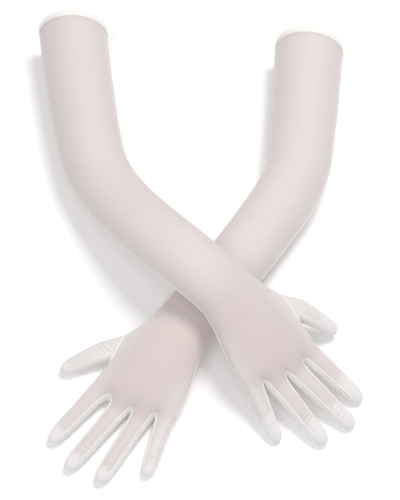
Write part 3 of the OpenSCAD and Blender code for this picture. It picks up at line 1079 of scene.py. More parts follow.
                        # The seams of two fingers draw together at the crotch
                        other = self.stalls[FINGERS[beside]].axes
                        facing = other.at(0, step * self.root_w(FINGERS[beside]) / 2 * MM, 0)
                        between = (stall.at(0, -step * w * MM, 0) + facing) / 2
                        place = place.lerp(between, self.web_draw)
                    local = self.hand.local(place) / MM
                    local.z += lift * h * (1.15 if step == 0 else 1.0)
                    if step == 0:
                        local.x += 1.0 if lift > 0 else -1.0
                    if webbed:
                        crotch = min(roots[digit].x, roots[FINGERS[beside]].x)
                        local.x = crotch + (3.5 if lift == 0 else 1.0 if lift > 0 else 0.0)
                    elif step != 0:
                        local.x -= 3.0
                        local.z -= lift * h * 0.18
                    cage.cap[column, row].co = self.hand.at(*(c * MM for c in local))
        for face in cage.bm.faces:
            corners = [key for key, vert in cage.cap.items() if vert in face.verts]
            first = min(column for column, _ in corners)
            upper = max(row for _, row in corners) == 2
            panel = "hand_back" if upper else "hand_palm"
            if first % 3 == 2:
                panel = f"web_{FINGERS[first // 3].value}"
            face.material_index = cage.label(panel)
            for loop in face.loops:
                local = self.hand.local(loop.vert.co)
                loop[cage.uv].uv = (local.y, local.x)

    def _grow_sleeve(
        self, cage: Cage, rim: list[bmesh.types.BMVert], halves: list[str], pitch: float
    ) -> None:
        """Extrude the sleeve from the wrist to the cuff, and tuck its end under the hem."""
        travelled = 0.0
        angles = [2 * math.pi * k / RING for k in range(RING)]
        before = self.hand.origin
        end, last = self.sleeve[-1], self.sleeve[-2]
        way = (end.centre - last.centre).normalized()
        lean = way * math.tan(math.radians(self.hem_slant))
        across = way.cross(Vector((0, 0, 1))).normalized()

        def slanted(section: Station, share: float) -> list[Vector]:
            """Return a section's ring, leaned by a share of the cuff's slant."""
            ring = [section.point(a, grow=1 / RING_SHRINK) for a in angles]
            return [p - lean * share * (p - section.centre).dot(across) for p in ring]

        for index, station in enumerate(self.sleeve[1:], 1):
            step = (station.centre - before).length
            places = slanted(station, ease((index - len(self.sleeve) + 6) / 5))
            rim = cage.extend(rim, places, Band(halves, (-travelled, -travelled - step), pitch))
            travelled, before = travelled + step, station.centre
        tuck = self.hem_tuck * MM
        for depth, inset in ((tuck / 2, 0.2 * MM), (tuck, 0.9 * MM)):
            inner = Station(
                end.centre + way * depth,
                end.wide * (1 - inset / end.wide.length),
                end.high * (1 - inset / end.high.length),
            )
            places = slanted(inner, 1.0)
            span = (-travelled, -travelled - tuck / 2)
            rim = cage.extend(rim, places, Band(halves, span, pitch))
            travelled += tuck / 2

    def _side_panels(self, digit: Digit, near_tip: bool) -> list[str]:
        """Return the panel of each of the eight faces round a digit."""
        back = f"{digit.value}_back"
        palm = f"{digit.value}_{'front' if digit is Digit.THUMB else 'palm'}"
        panels = [back] * 4 + [palm] * 4
        if near_tip or digit is Digit.THUMB:
            return panels
        doubled = digit in (Digit.MIDDLE, Digit.RING)
        inner = f"{digit.value}_{'inner_' if doubled else ''}fourchette"
        outer = f"{digit.value}_{'outer_' if doubled else ''}fourchette"
        if digit is not Digit.INDEX:
            panels[0] = panels[7] = inner
        if digit is not Digit.LITTLE:
            panels[3] = panels[4] = outer
        return panels

    def _stall_ring(
        self, digit: Digit, along: float, width: float, height: float, corner: float = 42
    ) -> list[Vector]:
        """Return a digit's cage ring.

        Args:
            digit: Which digit.
            along: Distance from the root in millimetres.
            width: Width of the section.
            height: Height of the section.
            corner: Angle of the corner points from the side, in degrees.

        Returns:
            Eight places, from the thumb side over the back.
        """
        axes = self.stalls[digit].axes
        ring = []
        for angle in (0, corner, 90, 180 - corner, 180, 180 + corner, 270, 360 - corner):
            a = math.radians(angle)
            ring.append(
                axes.at(
                    along * MM,
                    math.cos(a) * width / 2 / STALL_SHRINK * MM,
                    math.sin(a) * height / 2 / STALL_SHRINK * MM,
                )
            )
        return ring

    def _grow_stall(
        self,
        cage: Cage,
        digit: Digit,
        faces: list[bmesh.types.BMFace],
        ring: list[bmesh.types.BMVert],
        stations: list[tuple[float, float, float]],
        width: float,
    ) -> None:
        """Extrude a digit through its stations and round its tip.

        Args:
            cage: The cage to grow it on.
            digit: Which digit.
            faces: The four faces at its root.
            ring: Their border, from the thumb side over the back.
            stations: Distance, width and height of each section, in millimetres.
            width: Width for the knit's scale.
        """
        axes = self.stalls[digit].axes
        back, palm = self._side_panels(digit, True)[0], self._side_panels(digit, True)[7]
        pitch = math.pi * width / STALL * MM
        travelled = 0.0
        for index, (along, w, h) in enumerate(stations):
            near_tip = index >= len(stations) - 2
            sink = Vector()
            if digit is Digit.THUMB:
                sink = self.hand.z * -4.5 * MM * (1 - ease(along / 30))
            faces, ring = cage.push(
                faces,
                ring,
                [p + sink for p in self._stall_ring(digit, along, w, h)],
                axes.at(along * MM, 0, 0) + sink,
                Band(self._side_panels(digit, near_tip), (travelled, along * MM), pitch),
            )
            travelled = along * MM
        end = axes.at((stations[-1][0] + 0.9) * MM, 0, 0)
        for face in faces:
            for vert in face.verts:
                if vert not in ring:
                    vert.co = end
            middle = face.calc_center_median()
            upper = (middle - end).dot(axes.z) > 0
            face.material_index = cage.label(back if upper else palm)
            for loop in face.loops:
                local = axes.local(loop.vert.co)
                loop[cage.uv].uv = (local.y, local.x)

    @staticmethod
    def _tip(
        run: float, rise: float, width: float, power: float, flat: float
    ) -> list[tuple[float, float, float]]:
        """Return the stations that round a digit's tip.

        Args:
            run: Distance from the root to where the rounding starts.
            rise: Length of the rounding.
            width: Width where it starts.
            power: 1 for a round tip, more for a tapered one.
            flat: Height next to width.

        Returns:
            Distance, width and height of each section.
        """
        stations = []
        for turn in TIP_TURNS:
            a = math.radians(turn)
            w = width * math.cos(a) ** power
            stations.append((run + rise * math.sin(a), w, w * flat))
        return stations

    def _grow_finger(self, cage: Cage, digit: Digit, column: int) -> None:
        """Extrude one finger from its four faces of the cap."""
        cap = cage.cap
        border = ((0, 1), (0, 2), (1, 2), (2, 2), (2, 1), (2, 0), (1, 0), (0, 0))
        ring = [cap[column + step, row] for step, row in border]
        middle = cap[column + 1, 1]
        length = self.stalls[digit].length / MM
        root, tip = self.root_w(digit), self.tip_w(digit)
        dome = tip * self.tip_dome
        run = length - dome
        stations = []
        joints = (0.34 * length, 0.66 * length)
        for along in (6.5, 13, 21, 31, 42, 53, 64):
            if along > run - 5:
                break
            w = mix(root, tip * 1.07, along / run) * 0.985
            w += 1.8 * max(0.0, 1 - along / 20)
            for joint in joints:
                w += 0.5 * math.exp(-(((along - joint) / 5) ** 2))
            stations.append((along, w, w * self.finger_round))
        stations += self._tip(run, dome * 1.1, tip * 1.02, 1.08, self.finger_round * 0.96)
        self._grow_stall(cage, digit, list(middle.link_faces), ring, stations, mix(root, tip, 0.4))

    def _grow_thumb(
        self,
        cage: Cage,
        near: list[bmesh.types.BMVert],
        level: list[bmesh.types.BMVert],
        far: list[bmesh.types.BMVert],
    ) -> None:
        """Extrude the thumb from the four faces on the hand's side."""
        foot = RING - 1
        ring = [near[0], near[1], level[1], far[1], far[0], far[foot], level[foot], near[foot]]
        length = self.stalls[Digit.THUMB].length / MM
        tip = self.thumb_tip_w
        dome = tip * self.tip_dome
        run = length - dome
        stations = [
            (9.0, 23.5, 20.5),
            (17.0, 20.6, 18.4),
            (26.0, 19.0, 16.8),
            (36.0, 17.4, 15.4),
        ]
        stations += self._tip(run, dome * 1.06, tip * 0.94, 1.15, self.finger_round)
        self._grow_stall(cage, Digit.THUMB, list(level[0].link_faces), ring, stations, tip * 1.2)

    # -- the finished skin --

    def skin(self, cage: Cage) -> bpy.types.Object:
        """Subdivide the cage and crease the cloth.

        Args:
            cage: The glove's cage.

        Returns:
            An object with the skin, its tone and its normals as attributes.
        """
        mesh = bpy.data.meshes.new(self.frame.name("skin"))
        cage.bm.to_mesh(mesh)
        cage.bm.free()
        for panel in cage.panels:
            mesh.materials.append(bpy.data.materials.new(self.frame.name(panel)))
        obj = bpy.data.objects.new(self.frame.name("skin"), mesh)
        bpy.context.scene.collection.objects.link(obj)
        smooth = obj.modifiers.new("smooth", "SUBSURF")
        smooth.levels = smooth.render_levels = SUBDIVISIONS
        smooth.uv_smooth = "PRESERVE_BOUNDARIES"
        bpy.context.view_layer.objects.active = obj
        bpy.ops.object.modifier_apply(modifier=smooth.name)
        self._colour(obj.data, self._crease(obj.data))
        return obj

    def _crease(self, mesh: bpy.types.Mesh) -> np.ndarray:
        """Move the skin in and out by folds and slack, and return how far each ridge is painted
        whiter.
        """
        count = len(mesh.vertices)
        places = np.empty(count * 3, np.float32)
        mesh.vertices.foreach_get("co", places)
        places = places.reshape(-1, 3)
        normals = np.array([v.normal[:] for v in mesh.vertices], np.float32)
        lift = np.zeros(count, np.float32)
        for i, p in enumerate(places):
            lift[i] = self.slack * MM * noise.noise(Vector(p) * 38.0)
        ridge = np.zeros(count, np.float32)
        for fold in self.creases:
            reach = 3 * fold.width + fold.length
            near = np.linalg.norm(places - np.array(fold.centre, np.float32), axis=1) < reach
            for i in np.nonzero(near)[0]:
                height = fold.height(Vector(places[i]))
                lift[i] += height
                # Painted light and shade: a crease's ridge is whitened and its groove darkened
                ridge[i] += fold.bloom * height / MM
        places += normals * lift[:, None]
        mesh.vertices.foreach_set("co", places.ravel())
        mesh.update()
        return ridge

    def _colour(self, mesh: bpy.types.Mesh, ridge: np.ndarray) -> None:
        """Store how white each point of the cloth looks, with the creases' painted light, and the
        skin's normals.
        """
        tone = np.zeros(len(mesh.vertices), np.float32)
        for i, vert in enumerate(mesh.vertices):
            tone[i] = min(1.0, max(0.0, self.tone_at(vert.co) + float(ridge[i])))
        tones = mesh.attributes.new("tone", "FLOAT", "POINT")
        tones.data.foreach_set("value", tone)
        kept = mesh.attributes.new("skin_normal", "FLOAT_VECTOR", "POINT")
        normals = np.array([v.normal[:] for v in mesh.vertices], np.float32)
        kept.data.foreach_set("vector", normals.ravel())

    def tone_at(self, p: Vector) -> float:
        """Return 0 where one stretched layer shows, up to 1 where the cloth looks white,
        from slack cloth, seam allowances and a painted pale rim along the sides.

        Args:
            p: A place on the skin.

        Returns:
            The tone.
        """
        local = self.hand.local(p) / MM
        # Painted sheen: a pale rim along both sides of the hand, where the cloth turns edge-on to a
        # view from above; the little-finger side's seam allowance also shows
        side = abs(local.y + 6) / 46
        hand = 0.1 + 0.5 * ease((side - 0.45) / 0.6)
        for stall in self.stalls.values():
            q = stall.axes.local(p) / MM
            if q.x > 0 and abs(q.y) < 14 and abs(q.z) < 14:
                ragged = 8 * noise.noise(p * 95.0)
                near_tip = (q.x - stall.length / MM + self.white_tip + ragged) / 12
                # A finger whitens toward its sides, partly from the fourchettes' seam allowances
                # and partly as a painted pale rim; toward the tip the slack cloth is whiter
                share = 0.36 + 0.25 * ease((abs(q.y) - 4) / 5) + 0.55 * ease(near_tip)
                if stall.digit is Digit.THUMB:
                    # The seam allowance inside whitens the edge toward the index finger
                    share = max(share, ease((-q.y - 3) / 3))
                hand = max(hand, mix(hand, share, ease(q.x / 12)))
        near = min(self.sleeve, key=lambda s: (s.centre - p).length_squared)
        wide = abs((p - near.centre).dot(near.wide)) / near.wide.length_squared
        # The sleeve whitens toward its two seams: partly the seam allowances, partly a painted pale
        # rim along its sides
        sleeve = 0.34 + 0.16 * ease((wide - 0.85) / 0.2)
        return mix(sleeve, hand, ease((local.x + 45) / 70))

    # -- seams --

    def seam_chains(
        self, skin: bpy.types.Object, wanted: Callable[[set[str], Vector], bool]
    ) -> list[tuple[list[Vector], list[Vector]]]:
        """Follow the borders between panels.

        Args:
            skin: The whole skin.
            wanted: Says from the two panels' names and a place whether a border counts.

        Returns:
            For each unbroken border, its places and the skin's normals there.
        """
        bm = bmesh.new()
        bm.from_mesh(skin.data)
        names = [m.name.split("_", 1)[1] for m in skin.data.materials]
        beside: dict[bmesh.types.BMVert, list[bmesh.types.BMVert]] = {}
        for edge in bm.edges:
            pair = {names[f.material_index] for f in edge.link_faces}
            if len(pair) == 2 and wanted(pair, (edge.verts[0].co + edge.verts[1].co) / 2):
                a, b = edge.verts
                beside.setdefault(a, []).append(b)
                beside.setdefault(b, []).append(a)
        chains = []
        left = dict.fromkeys(sorted(beside, key=lambda v: (len(beside[v]) != 1, v.index)))
        while left:
            at = next(iter(left))
            chain = [at]
            del left[at]
            while True:
                onward = [v for v in beside[at] if v in left]
                if not onward:
                    break
                at = onward[0]
                del left[at]
                chain.append(at)
            if chain[0] in beside[chain[-1]] and len(chain) > 8:
                chain.append(chain[0])
            if len(chain) > 6:
                chains.append(([v.co.copy() for v in chain], [v.normal.copy() for v in chain]))
        bm.free()
        return chains

    def bead(
        self, name: str, chains: list[tuple[list[Vector], list[Vector]]], width: float, proud: float
    ) -> bpy.types.Object:
        """Sweep a flattened cord of overlock stitching along some borders.

        Args:
            name: The piece's name, without the side.
            chains: Places and normals of each border.
            width: Width of the seam in millimetres.
            proud: How far it stands out of the cloth.

        Returns:
            The seam as one object.
        """
        bm = bmesh.new()
        uv = bm.loops.layers.uv.new("knit")
        half, rise = width / 2 * MM, proud * MM
        for places, normals in chains:
            closed = (places[0] - places[-1]).length < 1e-9
            stops = self._spaced(places, normals, BEAD_STEP * MM)
            ring: list[bmesh.types.BMVert] = []
            first: list[bmesh.types.BMVert] = []
            travelled = 0.0
            for i, (p, n) in enumerate(stops):
                before = stops[i - 1][0] if i else (stops[-2][0] if closed else p)
                after = stops[i + 1][0] if i < len(stops) - 1 else (stops[1][0] if closed else p)
                way = (after - before).normalized()
                across = way.cross(n).normalized()
                up = across.cross(way).normalized()
                end = 1.0 if closed else min(1.0, 0.35 + 0.65 * min(i, len(stops) - 1 - i) / 2)
                # The stitching pulls the seam slightly to and fro
                pull = across * noise.noise(p * 150.0) * half * 0.45
                swell = end * (1 + 0.35 * noise.noise(p * 210.0))
                section = []
                for k in range(BEAD_SIDES):
                    a = 2 * math.pi * k / BEAD_SIDES
                    side = across * math.cos(a) * half * swell
                    lift = up * (math.sin(a) * rise * 0.75 + rise * 0.1) * swell
                    section.append(p + pull + side + lift)
                if not ring:
                    made = bmesh.ops.create_circle(bm, segments=BEAD_SIDES, radius=half)
                    ring = first = made["verts"]
                    for vert, place in zip(ring, section):
                        vert.co = place
                    continue
                step = (p - stops[i - 1][0]).length
                span = (travelled, travelled + step)
                made = extrude_border(bm, ring)
                ring, _ = lay_band(bm, uv, ring, made, section, span, 0.5 * MM)
                travelled += step
            if closed:
                bmesh.ops.remove_doubles(bm, verts=ring + first, dist=1e-6)
            else:
                for end_ring in (first, ring):
                    bmesh.ops.contextual_create(bm, geom=end_ring)
        bmesh.ops.recalc_face_normals(bm, faces=bm.faces)
        for face in bm.faces:
            face.smooth = True
        return finish_mesh(bm, self.frame.name(f"{name}_overlock"))

    @staticmethod
    def _spaced(
        places: list[Vector], normals: list[Vector], gap: float
    ) -> list[tuple[Vector, Vector]]:
        """Thin a chain to places about one gap apart, with its kinks smoothed out.

        Args:
            places: The chain's places.
            normals: The skin's normals there.
            gap: Distance between two stops.

        Returns:
            Stops as place and normal.
        """
        closed = (places[0] - places[-1]).length < 1e-9
        smooth = [p.copy() for p in places]
        for _ in range(3):
            moved = [p.copy() for p in smooth]
            for i in range(1, len(smooth) - 1):
                moved[i] = (smooth[i - 1] + 2 * smooth[i] + smooth[i + 1]) / 4
            smooth = moved
        stops = [(smooth[0], normals[0])]
        since = 0.0
        for i in range(1, len(smooth)):
            since += (smooth[i] - smooth[i - 1]).length
            if since >= gap or i == len(smooth) - 1:
                stops.append((smooth[i], normals[i].normalized()))
                since = 0.0
        if closed:
            stops[-1] = (stops[0][0].copy(), stops[0][1].copy())
        return stops

    # -- panels --

    def cut_panels(self, skin: bpy.types.Object) -> dict[str, bpy.types.Object]:
        """Cut the skin along its seams and give each panel the cloth's thickness.

        Args:
            skin: The whole skin.

        Returns:
            The panels by name, without the side.
        """
        bpy.ops.object.select_all(action="DESELECT")
        skin.select_set(True)
        bpy.context.view_layer.objects.active = skin
        bpy.ops.object.mode_set(mode="EDIT")
        bpy.ops.mesh.separate(type="MATERIAL")
        bpy.ops.object.mode_set(mode="OBJECT")
        panels = {}
        for obj in list(bpy.context.selected_objects):
            label = obj.data.materials[0]
            panel = label.name.split("_", 1)[1]
            obj.name = obj.data.name = f"{label.name}_cloth"
            obj.data.materials.clear()
            bpy.data.materials.remove(label)
            self._thicken(obj.data)
            panels[panel] = obj
        return panels

    def _thicken(self, mesh: bpy.types.Mesh) -> None:
        """Add the inner face and the edges of a panel, and keep the skin's smooth shading."""
        bm = bmesh.new()
        bm.from_mesh(mesh)
        bmesh.ops.solidify(bm, geom=list(bm.faces), thickness=self.fabric_t * MM)
        bm.normal_update()
        kept = bm.verts.layers.float_vector["skin_normal"]
        facings = []
        for face in bm.faces:
            face.smooth = True
            outward = sum((v[kept] for v in face.verts), Vector()).normalized()
            facings.append(outward.dot(face.normal))
        bm.to_mesh(mesh)
        bm.free()
        corners = []
        skin_normal = mesh.attributes["skin_normal"].data
        for polygon, facing in zip(mesh.polygons, facings):
            for index in polygon.loop_indices:
                n = Vector(skin_normal[mesh.loops[index].vertex_index].vector)
                # A face square to the skin is the panel's edge, and keeps its own normal
                corners.append(n if facing > 0.5 else -n if facing < -0.5 else polygon.normal)
        mesh.normals_split_custom_set([c[:] for c in corners])
        mesh.attributes.remove(mesh.attributes["skin_normal"])

    # -- putting it together --

    def build(self, wardrobe: Wardrobe) -> None:
        """Make every cloth piece of this glove and dress it; the hand's and the webs' pieces ride
        on the hand's body.

        Args:
            wardrobe: Where the finishes come from.
        """
        skin = self.skin(self.grow())
        seams = self._seams(skin)
        flats = self._flats(skin)
        panels = self.cut_panels(skin)
        for panel, obj in panels.items():
            doubled = "fourchette" in panel or panel.startswith("web")
            slot = Slot.FOURCHETTE if doubled else Slot.TRICOT
            if self._fix(obj, panel, slot, wardrobe):
                width, length, area = flats[panel]
        for name, obj in seams.items():
            self._fix(obj, name, Slot.SEAM, wardrobe)

    def _fix(self, obj: bpy.types.Object, piece: str, slot: Slot, wardrobe: Wardrobe) -> bool:
        """Dress a piece, hide the CAD nodes that it replaces, place it, and say whether it replaces
        any.
        """
        wardrobe.dress(obj, slot)
        replaced = self.frame.nodes(piece)
        if replaced:
            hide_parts(*replaced)
        self._attach(obj, piece)
        log.info("%s: %d faces", obj.name, len(obj.data.polygons))
        return bool(replaced)

    def _flats(self, skin: bpy.types.Object) -> dict[str, tuple[float, float, float]]:
        """Measure what each panel was cut to, from its spread on the knit map.

        Args:
            skin: The whole skin.

        Returns:
            Width, length and area of each panel in metres.
        """
        names = [m.name.split("_", 1)[1] for m in skin.data.materials]
        area = dict.fromkeys(names, 0.0)
        low, high = dict.fromkeys(names, 1e9), dict.fromkeys(names, -1e9)
        uv = skin.data.uv_layers["knit"].data
        for polygon in skin.data.polygons:
            name = names[polygon.material_index]
            area[name] += polygon.area
            for index in polygon.loop_indices:
                low[name] = min(low[name], uv[index].uv.y)
                high[name] = max(high[name], uv[index].uv.y)
        flats = {}
        for name in names:
            length = high[name] - low[name]
            # A panel tapers and rounds off, so it covers about nine tenths of its own box
            width = max(self.least_sheet, area[name] / length / 0.9)
            flats[name] = (width, length, area[name])
        return flats

    def _attach(self, obj: bpy.types.Object, piece: str) -> None:
        """Ride a hand or web piece on the hand's body; leave the sleeve's and the digits' pieces
        where they are.
        """
        part = piece.split("_")[0]
        if part == "sleeve":
            self.frame.name("sleeve")
            self.frame.name("hand")
            self.hand.at(-7 * MM, 0, 0)
            self.hand.at(11 * MM, 0, 0)
            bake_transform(obj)
        elif part in ("hand", "web"):
            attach(obj, self.frame.name("hand"))
        else:
            stall = self.stalls[Digit(part)]
            way = stall.axes.x - stall.hinge_axis * stall.axes.x.dot(stall.hinge_axis)
            way.normalize()
            reach = max((p - stall.hinge).dot(way) for p in self.roots[stall.digit])
            self.frame.name("hand")
            self.frame.name(part)
            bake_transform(obj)

    def _seams(self, skin: bpy.types.Object) -> dict[str, bpy.types.Object]:
        """Make the sewn seams, and note where each digit's panels start.

        Args:
            skin: The whole skin.

        Returns:
            The seams by name, without the side.
        """
        for digit in Digit:
            borders = self.seam_chains(skin, lambda pair, p, d=digit: is_root(pair, d))
            self.roots[digit] = [p for places, _ in borders for p in places]
        forearm = self.sleeve[3]
        seams = {}
        halves = {"sleeve_back", "sleeve_front"}
        for chain in self.seam_chains(skin, lambda pair, p: pair == halves):
            near = min(chain[0], key=lambda p: (p - forearm.centre).length)
            inner = (near - forearm.centre).dot(forearm.wide) > 0
            name = "sleeve_inner_seam" if inner else "sleeve_outer_seam"
            seams[name] = self.bead(name, [chain], self.seam_w, self.seam_proud)
        # The little-finger side, the crotches between the fingers and the thumb's root
        sewn = (
            lambda pair, p: pair == {"hand_back", "hand_palm"} and self.hand.local(p).y < -0.03,
            lambda pair, p: {n.split("_")[0] for n in pair} == {"web", "hand"},
            lambda pair, p: is_root(pair, Digit.THUMB) and "hand_back" in pair,
        )
        across = [chain for rule in sewn for chain in self.seam_chains(skin, rule)]
        seams["hand_seam"] = self.bead("hand_seam", across, self.seam_w, self.seam_proud)
        for digit in Digit:
            chains = self.seam_chains(
                skin, lambda pair, p, d=digit: self._is_digit_seam(pair, p, d)
            )
            name = f"{digit.value}_seam" if digit is Digit.THUMB else f"{digit.value}_seams"
            seams[name] = self.bead(name, chains, self.seam_w * 0.85, self.seam_proud * 0.85)
        return seams

    def _is_digit_seam(self, pair: set[str], p: Vector, digit: Digit) -> bool:
        """Return whether a border between two panels of one digit is sewn there."""
        if any(not n.startswith(digit.value) for n in pair):
            return False
        if digit in (Digit.THUMB, Digit.INDEX):
            return self.stalls[digit].axes.local(p).y < 0.001
        return True


def is_root(pair: set[str], digit: Digit) -> bool:
    """Return whether a border lies between the hand and that digit."""
    hand = any(n.startswith(("hand", "web")) for n in pair)
    return hand and any(n.startswith(digit.value) for n in pair)


def finish_mesh(bm: bmesh.types.BMesh, name: str) -> bpy.types.Object:
    """Turn a finished bmesh into an object at the origin.

    Args:
        bm: The mesh, in world places; it is freed.
        name: The piece's name.

    Returns:
        The linked object.
    """
    mesh = bpy.data.meshes.new(name)
    bm.to_mesh(mesh)
    bm.free()
    obj = bpy.data.objects.new(name, mesh)
    bpy.context.scene.collection.objects.link(obj)
    return obj


# ---- the hem ----


@dataclass
class Hem:
    """The folded band at a cuff, its line of stitching and the elastic inside.

    The sizes are in millimetres.
    """

    frame: GloveFrame
    fabric_t: float = 0.7
    band_w: float = 10
    elastic_t: float = 0.5
    elastic_gap: float = 0.4
    puff: float = 0.35  # how far the fold swells past the sleeve
    stitch_at: float = 3.2
    stitch_pitch: float = 2.6
    stitch_len: float = 1.9
    facets: int = 120
    slant: float = 0.0  # lean of the cuff's edge from square, in degrees
    bore: float = field(init=False)
    out: Vector = field(init=False)
    up: Vector = field(init=False)
    across: Vector = field(init=False)
    base: Vector = field(init=False)

    def read(self) -> None:
        """Take the cuff's place from its mount."""
        mount = self.frame.cuff()
        self.out = Vector(mount["axis"]).normalized()
        self.bore = mount["dims"]["r_mm"]
        self.base = Vector(mount["pos_m"]) - self.out * self.band_w / 2 * MM
        self.up = (Vector((0, 0, 1)) - self.out * self.out.z).normalized()
        self.across = self.out.cross(self.up)

    def outer(self) -> float:
        """Return the band's outer radius."""
        return self.bore + 2 * self.fabric_t + self.elastic_t + self.elastic_gap

    def to_world(self, bm: bmesh.types.BMesh) -> None:
        """Turn a mesh made round +Z into its place at the cuff, leaned and slightly wavy."""
        lean = math.tan(math.radians(self.slant))
        for vert in bm.verts:
            x, y, z = vert.co
            angle = math.atan2(y, x)
            wave = 1 + 0.004 * math.sin(3 * angle + 0.6) + 0.003 * math.sin(7 * angle)
            rim = 0.25 * MM * math.sin(5 * angle + 1.1) * z / (self.band_w * MM)
            vert.co = (
                self.base
                + self.across * x * wave
                + self.up * y * wave
                + self.out * (z + rim - lean * x)
            )

    def ring(self, name: str, profile: list[tuple[float, float]]) -> bpy.types.Object:
        """Spin a closed profile round the cuff.

        Args:
            name: The piece's name, without the side.
            profile: Radius and height of each corner, in millimetres.

        Returns:
            The ring.
        """
        bm = bmesh.new()
        verts = [bm.verts.new((r * MM, 0, z * MM)) for r, z in profile]
        count = len(verts)
        edges = [bm.edges.new((verts[i], verts[(i + 1) % count])) for i in range(count)]
        bmesh.ops.spin(
            bm,
            geom=verts + edges,
            axis=(0, 0, 1),
            cent=(0, 0, 0),
            angle=2 * math.pi,
            steps=self.facets,
            use_merge=True,
        )
        bmesh.ops.recalc_face_normals(bm, faces=bm.faces)
        uv = bm.loops.layers.uv.new("knit")
        for face in bm.faces:
            face.smooth = True
            middle = face.calc_center_median()
            turn = math.atan2(middle.y, middle.x)
            for loop in face.loops:
                co = loop.vert.co
                here = math.atan2(co.y, co.x)
                if here - turn > math.pi:
                    here -= 2 * math.pi
                if turn - here > math.pi:
                    here += 2 * math.pi
                loop[uv].uv = (here * self.outer() * MM, co.z)
        tone = bm.verts.layers.float.new("tone")
        for vert in bm.verts:
            vert[tone] = ease((vert.co.z / MM - self.stitch_at + 0.6) / 1.2)
        self.to_world(bm)
        return finish_mesh(bm, self.frame.name(name))

    def band_profile(self) -> list[tuple[float, float]]:
        """Return the folded band's section: down the outside, round the fold, up the inside."""
        t, r0, r1, w = self.fabric_t, self.bore, self.outer(), self.band_w
        mid, half = (r0 + r1) / 2, (r1 - r0) / 2
        section = [(r1 - t, 0.0), (r1 - 0.1, -0.15), (r1 + 0.15, 0.25)]
        section += [(r1 + 0.1, self.stitch_at - 0.7), (r1 - 0.2, self.stitch_at)]
        section += [(r1 + 0.15, self.stitch_at + 0.9), (r1 + self.puff, w * 0.55)]
        for turn in range(0, 181, 20):
            a = math.radians(turn)
            reach = (half + self.puff * 0.6) * math.cos(a)
            section.append((mid + reach, w - half + half * math.sin(a)))
        section += [(r0, w * 0.4), (r0, 0.3), (r0 + t / 2, 0.0), (r0 + t, 0.3), (r0 + t, w * 0.4)]
        for turn in range(180, -1, -36):
            a = math.radians(turn)
            section.append((mid + (half - t) * math.cos(a), w - half + (half - t) * math.sin(a)))
        section += [(r1 - t, w * 0.4)]
        return section

    def build(self, wardrobe: Wardrobe) -> None:
        """Make the band, the elastic and the stitching, dress and fix them.

        Args:
            wardrobe: Where the finishes come from.
        """
        inside = self.bore + self.fabric_t
        low, high = 2.4, self.band_w - 1.6
        tape = [
            (inside + 0.05, low),
            (inside + self.elastic_t, low),
            (inside + self.elastic_t, high),
            (inside + 0.05, high),
        ]
        pieces = [
            (self.ring("hem_fold", self.band_profile()), Slot.HEM, "hem_band"),
            (self.ring("hem_tape", tape), Slot.ELASTIC, "hem_elastic"),
            (self.stitching(), Slot.THREAD, "hem_stitching"),
        ]
        for obj, slot, node in pieces:
            wardrobe.dress(obj, slot)
            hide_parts(self.frame.name(node))
            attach(obj, self.frame.name("sleeve"))
            log.info("%s: %d faces", obj.name, len(obj.data.polygons))

    def stitching(self) -> bpy.types.Object:
        """Make the line of stitches round the band.

        Returns:
            All the stitches as one object.
        """
        bm = bmesh.new()
        uv = bm.loops.layers.uv.new("knit")
        radius = self.outer() - 0.05
        count = round(2 * math.pi * radius / self.stitch_pitch)
        for i in range(count):
            made = bmesh.ops.create_uvsphere(bm, u_segments=6, v_segments=5, radius=0.5)
            turn = 2 * math.pi * i / count
            for vert in made["verts"]:
                long = vert.co.z * self.stitch_len
                thick = vert.co.x * 0.34
                wide = vert.co.y * 0.5
                r = (radius + thick + 0.05 - long * long * 0.04) * MM
                angle = turn + long * MM / (radius * MM)
                vert.co = (r * math.cos(angle), r * math.sin(angle), (self.stitch_at + wide) * MM)
        for face in bm.faces:
            face.smooth = True
            for loop in face.loops:
                co = loop.vert.co
                loop[uv].uv = (math.atan2(co.y, co.x) * radius * MM, co.z)
        self.to_world(bm)
        return finish_mesh(bm, self.frame.name("hem_stitches"))


# ---- the studio ----


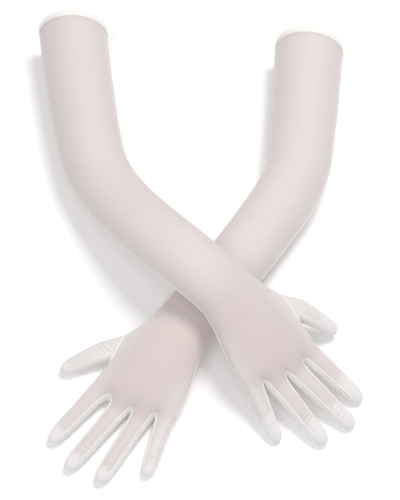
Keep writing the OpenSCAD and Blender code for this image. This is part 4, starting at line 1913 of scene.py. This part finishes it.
@dataclass
class Studio:
    """A pale floor, soft light and the camera."""

    floor_colour: str = "#FFFFFF"
    floor_glow: float = 0.07
    target: tuple[float, float, float] = (0.010, -0.017, 0.025)
    distance: float = 1.25
    elevation: float = 60.0
    lens: float = 90.0
    sky: float = 0.4
    # Name, place, size in metres and power in watts
    lamps: tuple[tuple[str, tuple[float, float, float], float, float], ...] = (
        ("key", (0.5, 0.45, 1.75), 0.6, 16.0),
        ("fill", (-0.5, -0.8, 1.6), 1.6, 9.5),
    )

    def build(self, floor_z: float) -> None:
        """Set up the floor, the lights and the camera.

        Args:
            floor_z: Height of the floor.
        """
        self._floor(floor_z)
        for lamp in self.lamps:
            self._light(*lamp)
        world = bpy.data.worlds.new("studio")
        bpy.context.scene.world = world
        world.use_nodes = True
        background = world.node_tree.nodes["Background"]
        background.inputs["Color"].default_value = linear("#FFFFFF")
        background.inputs["Strength"].default_value = self.sky
        self._camera()
        bpy.context.scene.view_settings.view_transform = "Standard"

    def _floor(self, height: float) -> None:
        """Lay a wide matt floor."""
        bm = bmesh.new()
        bmesh.ops.create_grid(bm, x_segments=1, y_segments=1, size=8.0)
        for vert in bm.verts:
            vert.co.z = height
        floor = finish_mesh(bm, "floor")
        material = bpy.data.materials.new("white_paper_sweep")
        material.use_nodes = True
        shader = material.node_tree.nodes["Principled BSDF"]
        shader.inputs["Base Color"].default_value = linear(self.floor_colour)
        shader.inputs["Roughness"].default_value = 0.9
        shader.inputs["Specular IOR Level"].default_value = 0.1
        # A table lit from below keeps the shadows short and pale
        shader.inputs["Emission Color"].default_value = linear(self.floor_colour)
        shader.inputs["Emission Strength"].default_value = self.floor_glow
        floor.data.materials.append(material)
        floor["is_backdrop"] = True

    def _light(
        self, name: str, place: tuple[float, float, float], size: float, power: float
    ) -> None:
        """Hang one square soft light that faces the gloves."""
        data = bpy.data.lights.new(name, "AREA")
        data.size = size
        data.energy = power
        light = bpy.data.objects.new(name, data)
        bpy.context.scene.collection.objects.link(light)
        light.location = place
        aim = Vector(self.target) - Vector(place)
        light.rotation_euler = aim.to_track_quat("-Z", "Y").to_euler()

    def _camera(self) -> None:
        """Place the camera on its arc above the front of the gloves."""
        data = bpy.data.cameras.new("camera")
        data.lens = self.lens
        data.sensor_width = 36.0
        data.clip_end = 20.0
        camera = bpy.data.objects.new("camera", data)
        bpy.context.scene.collection.objects.link(camera)
        rise = math.radians(self.elevation)
        away = Vector((0, -math.cos(rise), math.sin(rise))) * self.distance
        camera.location = Vector(self.target) + away
        camera.rotation_euler = (-away).to_track_quat("-Z", "Y").to_euler()
        bpy.context.scene.camera = camera


def bounds_list() -> list[list[float]]:
    """Return the object's box as plain numbers."""
    return [[float(c) for c in corner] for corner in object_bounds()]


def main() -> None:
    """Build the gloves round the frame, then the studio on the floor of the frame's box."""
    logging.basicConfig(level=logging.INFO, format="%(name)s: %(message)s")
    for obj in list(bpy.data.objects):
        bpy.data.objects.remove(obj)
    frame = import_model()
    cad_box = bounds_list()
    wardrobe = Wardrobe()
    # The right cuff was pulled up further on one side, and its fingers are looser
    worn = {Side.LEFT: (2.5, 20.0), Side.RIGHT: (7.0, 34.0)}
    for side, (slant, white_tip) in worn.items():
        side_frame = GloveFrame(frame, side)
        glove = Glove(side_frame, hem_slant=slant, white_tip=white_tip)
        glove.read()
        glove.build(wardrobe)
        hem = Hem(side_frame, slant=slant)
        hem.read()
        hem.build(wardrobe)
    Studio().build(cad_box[0][2])
    bpy.context.view_layer.update()


if __name__ == "__main__":
    main()
